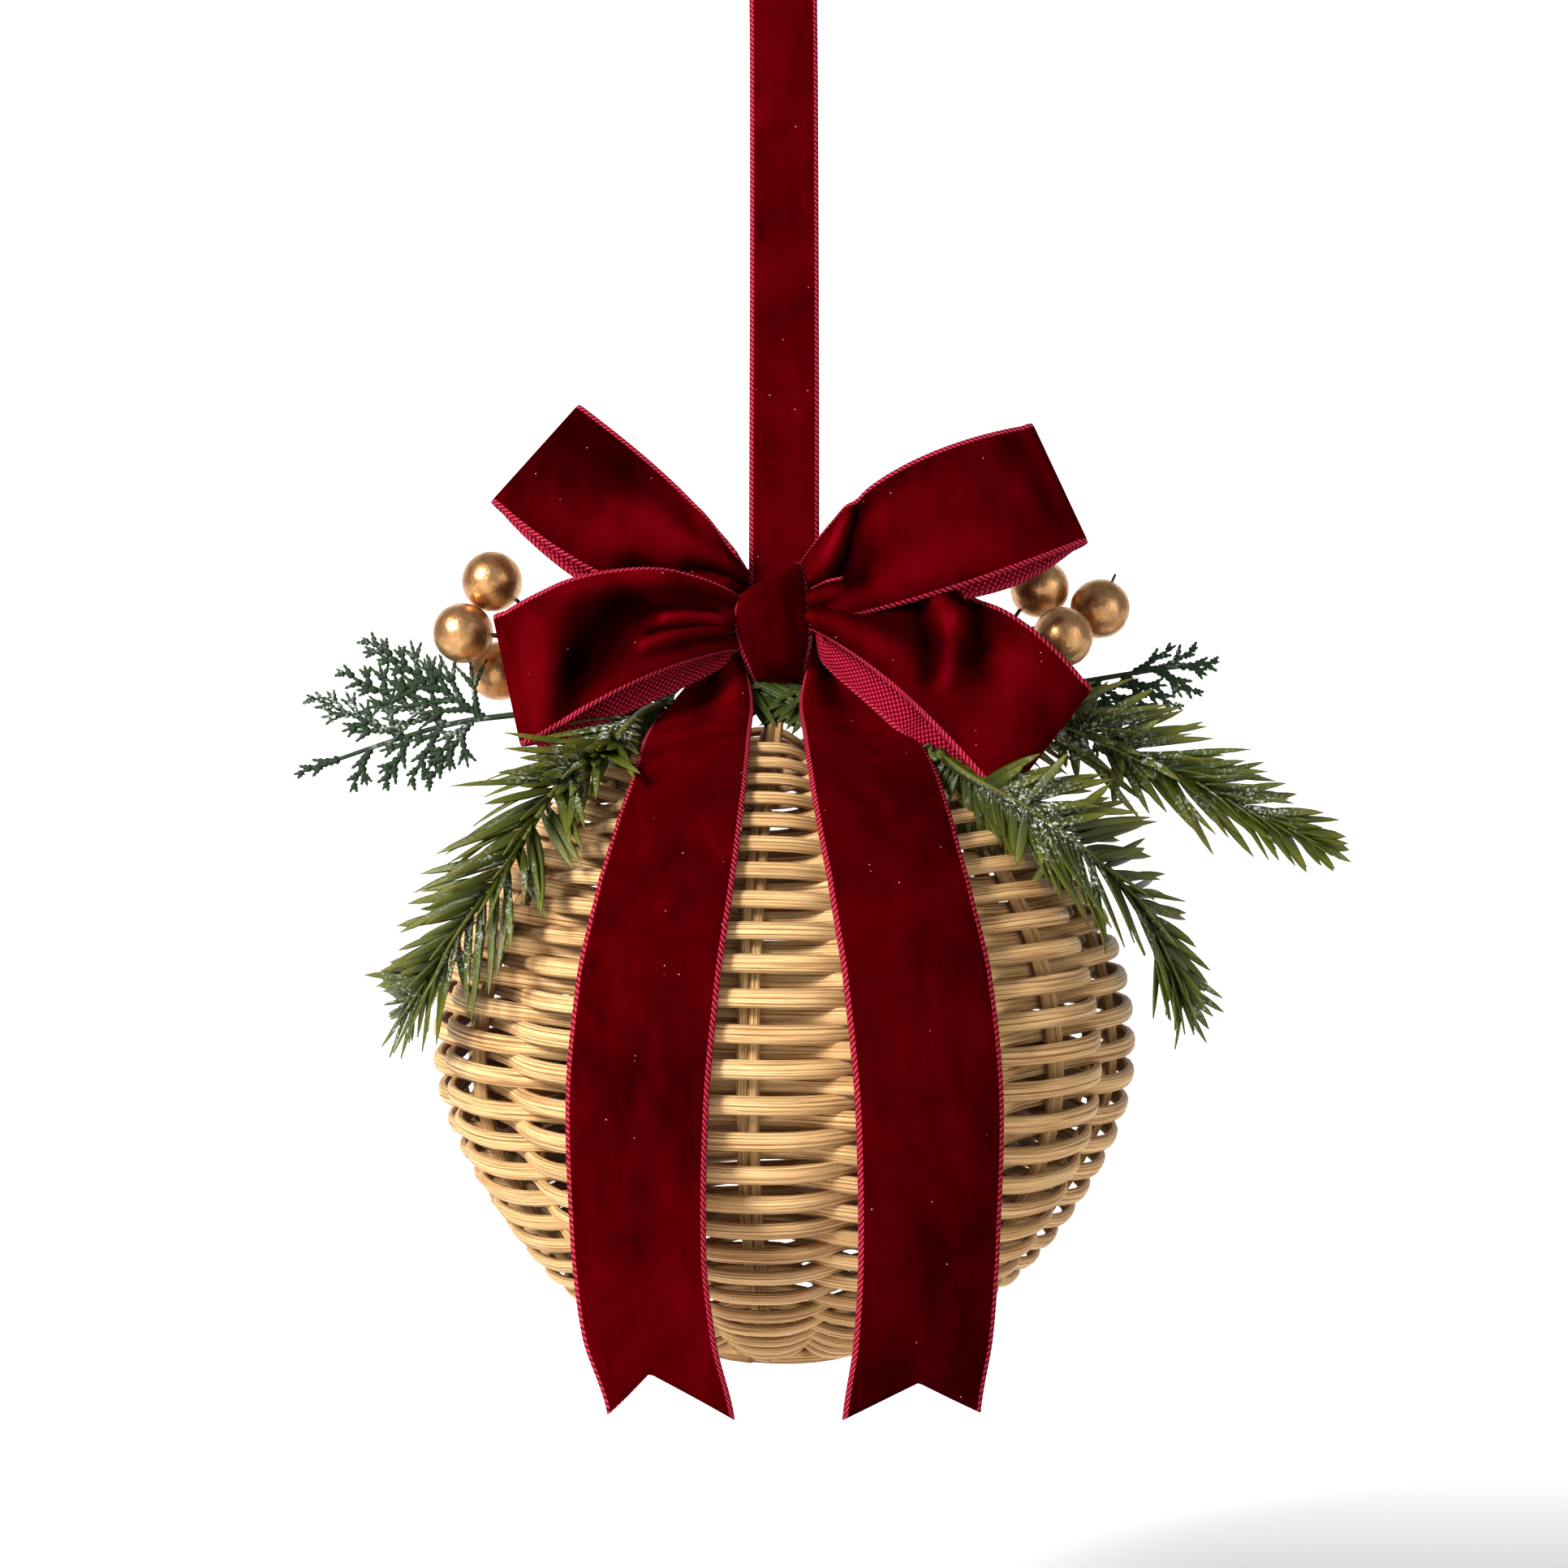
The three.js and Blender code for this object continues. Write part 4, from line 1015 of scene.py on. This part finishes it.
def loop_ribbon(loop):
    """A loop's two layers and its rounded tip, as one ribbon."""
    steps, turns = 60, 12
    across = across_places(RIBBON_WIDTH, 44)
    path = [(blend(-0.16, 1, k / steps), 0) for k in range(steps + 1)]
    path += [(1, k / turns) for k in range(1, turns)]
    path += [(blend(1, -0.16, k / steps), 1) for k in range(steps + 1)]
    grid = [[loop_point(loop, share, a / RIBBON_WIDTH - 0.5, fold) for a in across]
            for share, fold in path]
    rows, painted_light_rows = ([[cell[k] for cell in row] for row in grid] for k in (0, 1))
    cloth("bow_ribbon_" + loop["name"], "bow_loop_" + loop["name"], rows, across, painted_light_rows,
          flat=(RIBBON_WIDTH * MM, LOOP_CUTS[loop["name"]]), held="gathered",
          rests_on=["knot_band"])


def tail_ribbon(tail):
    """A tail that comes out under the knot, lies on the ball and hangs from its widest row."""
    side = tail["side"]
    stations = tail["stations"] + [(*tail["corners"], 0)]
    outer = [(row[0], row[1]) for row in stations]
    inner = [(row[0], row[2]) for row in stations]
    reach = [(row[0], row[3] or outer_radius_at(max(0, row[0])) + TAIL_REST) for row in stations]
    top = stations[0][0]
    notch_height, notch_x = tail["notch"]
    low = looked_up(inner, notch_height)
    notch_share = (notch_x - low) / (looked_up(outer, notch_height) - low)
    across = across_places(RIBBON_WIDTH, 24)
    steps = 96
    rows, painted_light_rows = [], []
    for k in range(steps + 1):
        share = k / steps
        row, painted_light = [], []
        for a in across:
            part = a / RIBBON_WIDTH
            split = part / notch_share if part < notch_share else (1 - part) / (1 - notch_share)
            end = blend(tail["corners"][0], notch_height, split)
            height = blend(top, end, share)
            x = blend(looked_up(inner, height), looked_up(outer, height), part)
            out = looked_up(reach, height)
            if height < -8:
                out += 0.5 * sin((height + 8) * 0.12) * (0.3 + part)
            gather = ease((height - 62) / 34)
            wave = sin(2 * pi * 1.7 * part + side)
            out += 1.5 * gather * wave
            # Painted light on the crests and painted shade in the troughs of the gathers near the
            # knot.
            painted_light.append(1.3 * gather * wave)
            out += 0.35 * noise.noise(Vector((height * 0.06, part * 1.6, side * 3.0)))
            row.append(Vector((side * x, -sqrt(max(1.0, out ** 2 - x ** 2)), level(height))))
        rows.append(row)
        painted_light_rows.append(painted_light)
    cloth("tail_ribbon_" + tail["name"], "tail_" + tail["name"], rows, across, painted_light_rows,
          flat=(RIBBON_WIDTH * MM, 0.2), held="draped", area=0.0060,
          rests_on=["rattan_weaver"])


# Greenery

def blade(body, base, direction, face, length, width, thickness, curl, sway=Vector(), segments=7):
    """A narrow grooved leaf that bends towards or off its face by curl, and by sway at its tip."""
    side = direction.cross(face).normalized()
    face = side.cross(direction).normalized()
    outline = [(-1, 0), (-0.55, 0.9), (0, 0.35), (0.55, 0.9), (1, 0), (0, -0.9)]
    lengths = [k / segments for k in range(segments + 1)]
    rings = []
    for k, t in enumerate(lengths):
        wide = width / 2 * max(0.16 if k == 0 else 0.03, (4 * t * (1 - t)) ** 0.62 *
                               (1.12 - 0.3 * t))
        thick = thickness / 2 * (1 - 0.75 * t)
        centre = base + direction * (length * t) + (face * (curl * length) + sway) * t * t
        lifted = (face - direction * (2 * curl * t)).normalized()
        rings.append([centre + side * (wide * a) + lifted * (thick * b) for a, b in outline])
    body.sweep_leaf(rings, lengths)


def leaf_room(sprig, share, base, direction, length):
    """The length that a leaf has before it reaches a tail or the bow in front of its sprig."""
    inward = -direction.x if base.x > 0 else direction.x
    if base.y < -20 and inward > 0.05 and share < 0.6:
        length = min(length, (abs(base.x) - TAIL_EDGE) / inward)
    if share < sprig["bare_above"] and direction.z > -0.1:
        length = min(length, 3)
    return max(0.8, length)


def needle_sprig(sprig):
    """Narrow leaves all round the front half of a bent stem."""
    chance = random.Random(sprig["seed"])
    stem = [over_ball(p) for p in sprig["stem"]]
    centre = Vector((0, 0, level(0)))
    body = Body()
    points = [spline(stem, blend(sprig["tube_from"], 1, k / 40)) for k in range(41)]
    tube(body, points, lambda share: STEM_RADIUS * blend(1.1, 0.5, share), 7)
    for k in range(sprig["leaves"]):
        along = k / (sprig["leaves"] - 1)
        share = blend(sprig["first_leaf"], LAST_LEAF, along)
        base = spline(stem, share)
        run = stem_run(stem, share).normalized()
        face = (base - centre).normalized().lerp(FRONT, 1 - sprig["ball_facing"])
        face.normalize()
        across = run.cross(face).normalized()
        face = across.cross(run)
        kind = k % 3
        spread = blend(*sprig["spreads"], along) + chance.uniform(-13, 11)
        roll = radians(chance.uniform(-6, 26))
        length = through(*sprig["lengths"], along) * chance.uniform(0.72, 1.06)
        hand = 1 if k % 2 else -1
        if kind == 2 and share > sprig["front_from"]:
            roll = radians(chance.uniform(35, 80))
            spread *= 0.8
            length *= 0.72
        if k > sprig["leaves"] - 4:
            spread *= 0.35
        spread = radians(spread)
        sideward = across * (hand * cos(roll)) + face * sin(roll)
        direction = (run * cos(spread) + sideward * sin(spread)).normalized()
        leaf_face = (face * cos(roll) - across * (hand * sin(roll))).normalized()
        if share < sprig["front_from"]:
            direction.y = max(direction.y, 0.1)
            direction.normalize()
        length = leaf_room(sprig, share, base, direction, length)
        sway = run * (length * chance.uniform(-0.04, 0.26))
        width = NEEDLE_WIDTH * chance.uniform(0.75, 1.15)
        blade(body, base, direction, leaf_face, length, width, 1.5, chance.uniform(-0.24, 0.08), sway)
    for k in range(sprig["short"]):
        share = chance.uniform(0.0, sprig["short_reach"])
        base = spline(stem, share)
        run = stem_run(stem, share, 0.03).normalized()
        side = Matrix.Rotation(chance.uniform(-2.2, 2.2), 3, run) @ FRONT
        spread = radians(chance.uniform(35, 150 if share < 0.1 else 80))
        direction = run * cos(spread) + side * sin(spread)
        if share < sprig["front_from"]:
            direction.y = 0.3 * abs(direction.y)
        direction.normalize()
        length = leaf_room(sprig, share, base, direction, chance.uniform(9, 17))
        blade(body, base, direction, Vector((0, -1, 0.4)), length, NEEDLE_WIDTH * 1.1, 1.4,
              chance.uniform(-0.2, 0.2))
    for k in range(sprig["tuft"]):
        back = (stem[0] - stem[1]).normalized() + Vector((0, 0.2, 0))
        turn = Matrix.Rotation(radians(chance.uniform(-75, 75)), 3, "Y")
        blade(body, stem[0], (turn @ back).normalized(), Vector((0, -1, 0.3)),
              chance.uniform(8, 14), NEEDLE_WIDTH, 1.4, chance.uniform(-0.2, 0.2))
    body.made("frosted_" + sprig["name"], [NEEDLE], sprig["name"])


def scaly_shoot(body, base, direction, face, length, width):
    """A cedar shoot: a flat tapering twig covered in overlapping scales."""
    side = direction.cross(face).normalized()
    face = side.cross(direction).normalized()
    scales = max(3, int(length / 1.5))
    lengths = [k / (2 * scales) for k in range(2 * scales + 1)]
    rings = []
    for k, t in enumerate(lengths):
        size = (1.05 if k % 2 else 0.62) * (1 - 0.75 * t) * (0.15 if k == 2 * scales else 1)
        centre = base + direction * (length * t)
        rings.append(oval(centre, side, face, width * size, width * 0.62 * size, 6, 1))
    body.sweep_leaf(rings, lengths)


def cedar_branch(body, chance, base, direction, face, length):
    scaly_shoot(body, base, direction, face, length, 2.6)
    pairs = max(2, int(length / 4.4))
    for k in range(2 * pairs):
        share = (k + 1) / (2 * pairs + 1)
        hand = 1 if k % 2 else -1
        foot = base + direction * (share * length)
        angle = radians(hand * chance.uniform(26, 50))
        shoot = Matrix.Rotation(angle, 3, face) @ direction
        reach = (0.42 * length * (1.05 - share) + 1.5) * chance.uniform(0.7, 1.15)
        scaly_shoot(body, foot, shoot, face, reach, 2.5)
        if reach > 5:
            for other in (-1, 1):
                twig = Matrix.Rotation(radians(other * 34), 3, face) @ shoot
                scaly_shoot(body, foot + shoot * (reach * 0.45), twig, face, reach * 0.5, 2.2)


def cedar_sprig(sprig):
    chance = random.Random(sprig["seed"])
    stem = [spot(p) for p in sprig["stem"]]
    hand = 1 if stem[0].x > 0 else -1
    body = Body()
    tube(body, [spline(stem, k / 30) for k in range(31)],
         lambda share: STEM_RADIUS * blend(1, 0.5, share), 7)

    def grow(shares, length, spread):
        for k, share in enumerate(shares):
            run = Matrix.Rotation(radians(hand * spread), 3, FRONT) @ stem_run(stem, share)
            run.y = chance.uniform(-0.08, 0.08) * run.length
            cedar_branch(body, chance, spline(stem, share), run.normalized(), FRONT,
                         length * (1 - 0.13 * k) * chance.uniform(0.92, 1.02))

    up, down, end = sprig["lengths"]
    grow(sprig["up"], up, sprig["spreads"][0])
    grow(sprig["down"], down, -sprig["spreads"][1])
    cedar_branch(body, chance, spline(stem, LAST_LEAF), (stem[-1] - stem[-2]).normalized(),
                 FRONT, end)
    body.made("frosted_" + sprig["name"], [CEDAR], sprig["name"])


def smooth_leaves():
    """Two blades that spring from one stalk under the knot."""
    foot = spot(SMOOTH_LEAF_FOOT)
    body = Body()
    tube(body, [foot + Vector((-3, 2, 1)), foot], WIRE_RADIUS, 6)
    for run in SMOOTH_LEAF_RUNS:
        direction = Vector(run).normalized()
        blade(body, foot, direction, Vector((0, -1, 0.8)).normalized(), 27, 6, 1.1, -0.05,
              segments=12)
    chance = random.Random(21)
    for k in range(ROOT_LEAVES):
        hand = 1 if k % 2 else -1
        root = foot + Vector((7.5 - 9 * hand, 0.4, chance.uniform(-1, 4)))
        turn = radians(chance.uniform(-64, 4))
        direction = Vector((hand * cos(turn), 1.2 * min(0, sin(turn)), sin(turn))).normalized()
        blade(body, root, direction, Vector((0, -1, 0.6)), chance.uniform(14, 22), NEEDLE_WIDTH,
              1.2, chance.uniform(-0.05, 0.05))
    body.made("smooth_leaves", [SMOOTH_LEAF], "smooth_leaf_pair")


# Berries

def berry(name, centre):
    """A slightly uneven ball."""
    body = Body()
    rings = []
    for i in range(1, 24):
        polar = pi * i / 24
        ring = []
        for angle in (2 * pi * j / 32 for j in range(32)):
            ray = Vector((sin(polar) * cos(angle), sin(polar) * sin(angle), cos(polar)))
            uneven = 1 + 0.012 * noise.noise(ray * 1.7 + centre)
            ring.append(centre + ray * (BERRY_RADIUS * uneven))
        rings.append(ring)
    body.sweep(rings, [i / 24 for i in range(1, 24)])
    body.made(name + "_painted", [GOLD], name)


def wires(side):
    """Thin wrapped wires from under the bow to the berries."""
    join, root = spot(WIRE_JOIN[side]), spot(WIRE_ROOT[side])
    body = Body()
    tube(body, [root.lerp(join, k / 8) + Vector((0, 0, -0.8 * sin(pi * k / 8)))
                for k in range(9)], WIRE_RADIUS, 7)
    for centre in (spot(p) for p in BERRIES[side]):
        run = (centre - join).normalized()
        end = centre - run * (BERRY_RADIUS - 0.4)
        bend = run.orthogonal().normalized() * 0.8
        tube(body, [join.lerp(end, k / 8) + bend * sin(pi * k / 8) for k in range(9)],
             WIRE_RADIUS * 0.85, 7)
    for key, number, way in WIRE_TIPS:
        if key == side:
            centre, way = spot(BERRIES[key][number]), Vector(way).normalized()
            tube(body, [centre + way * (BERRY_RADIUS + k - 1) for k in range(4)], 0.35, 6)
    body.made("wrapped_wires_" + side, [TWIG], "berry_wires_" + side)


# Stage

def make_stage():
    """A pale floor that curves up into a backdrop, soft light from the left, and the camera."""
    reach, drop, wall, curve = 3000, -430, 1900, 700
    profile = [(-3000, drop), (wall - curve, drop)]
    profile += [(wall - curve + curve * sin(pi / 2 * k / 16),
                 drop + curve * (1 - cos(pi / 2 * k / 16))) for k in range(1, 17)]
    profile += [(wall, 2600)]
    points = [(x * MM, y * MM, z * MM) for y, z in profile for x in (-reach, reach)]
    faces = [(2 * k, 2 * k + 1, 2 * k + 3, 2 * k + 2) for k in range(len(profile) - 1)]
    mesh = bpy.data.meshes.new("pale_floor")
    mesh.from_pydata(points, [], faces)
    mesh.polygons.foreach_set("use_smooth", [True] * len(faces))
    mesh.materials.append(pale_floor())
    plane = bpy.data.objects.new("pale_floor", mesh)
    bpy.context.scene.collection.objects.link(plane)

    world = bpy.data.worlds.new("white_studio")
    world.use_nodes = True
    world.node_tree.nodes["Background"].inputs["Color"].default_value = (1, 1, 1, 1)
    world.node_tree.nodes["Background"].inputs["Strength"].default_value = 0.27
    bpy.context.scene.world = world

    def lamp(name, place_, aim, size, energy):
        data = bpy.data.lights.new(name, "AREA")
        data.shape = "SQUARE"
        data.size = size
        data.energy = energy
        light = bpy.data.objects.new(name, data)
        light.location = place_
        light.rotation_euler = (Vector(aim) - Vector(place_)).to_track_quat("-Z", "Y").to_euler()
        bpy.context.scene.collection.objects.link(light)

    lamp("key_light", (-0.8, -0.9, 0.3), (0, 0, -0.24), 0.36, 26)
    lamp("fill_light", (0.9, -0.9, -0.1), (0, 0, -0.24), 0.8, 3)

    data = bpy.data.cameras.new("photo_camera")
    data.sensor_width = 36
    data.lens = 58.16
    camera = bpy.data.objects.new("photo_camera", data)
    camera.location = (0, -0.62, -0.261)
    camera.rotation_euler = (radians(90 + 5.36), 0, 0)
    bpy.context.scene.collection.objects.link(camera)
    bpy.context.scene.camera = camera
    bpy.context.scene.view_settings.view_transform = "Standard"


make_weaver()
make_stakes()
make_base()
hang_ribbon()
band_ribbon()
knot_ribbon()
for each in BOW_LOOPS:
    loop_ribbon(each)
for each in TAILS:
    tail_ribbon(each)
for each in NEEDLE_SPRIGS:
    needle_sprig(each)
for each in CEDAR_SPRIGS:
    cedar_sprig(each)
smooth_leaves()
for key, places in BERRIES.items():
    for number, point_ in enumerate(places):
        berry("gold_berry_%s_%d" % (key, number + 1), spot(point_))
    wires(key)
make_stage()
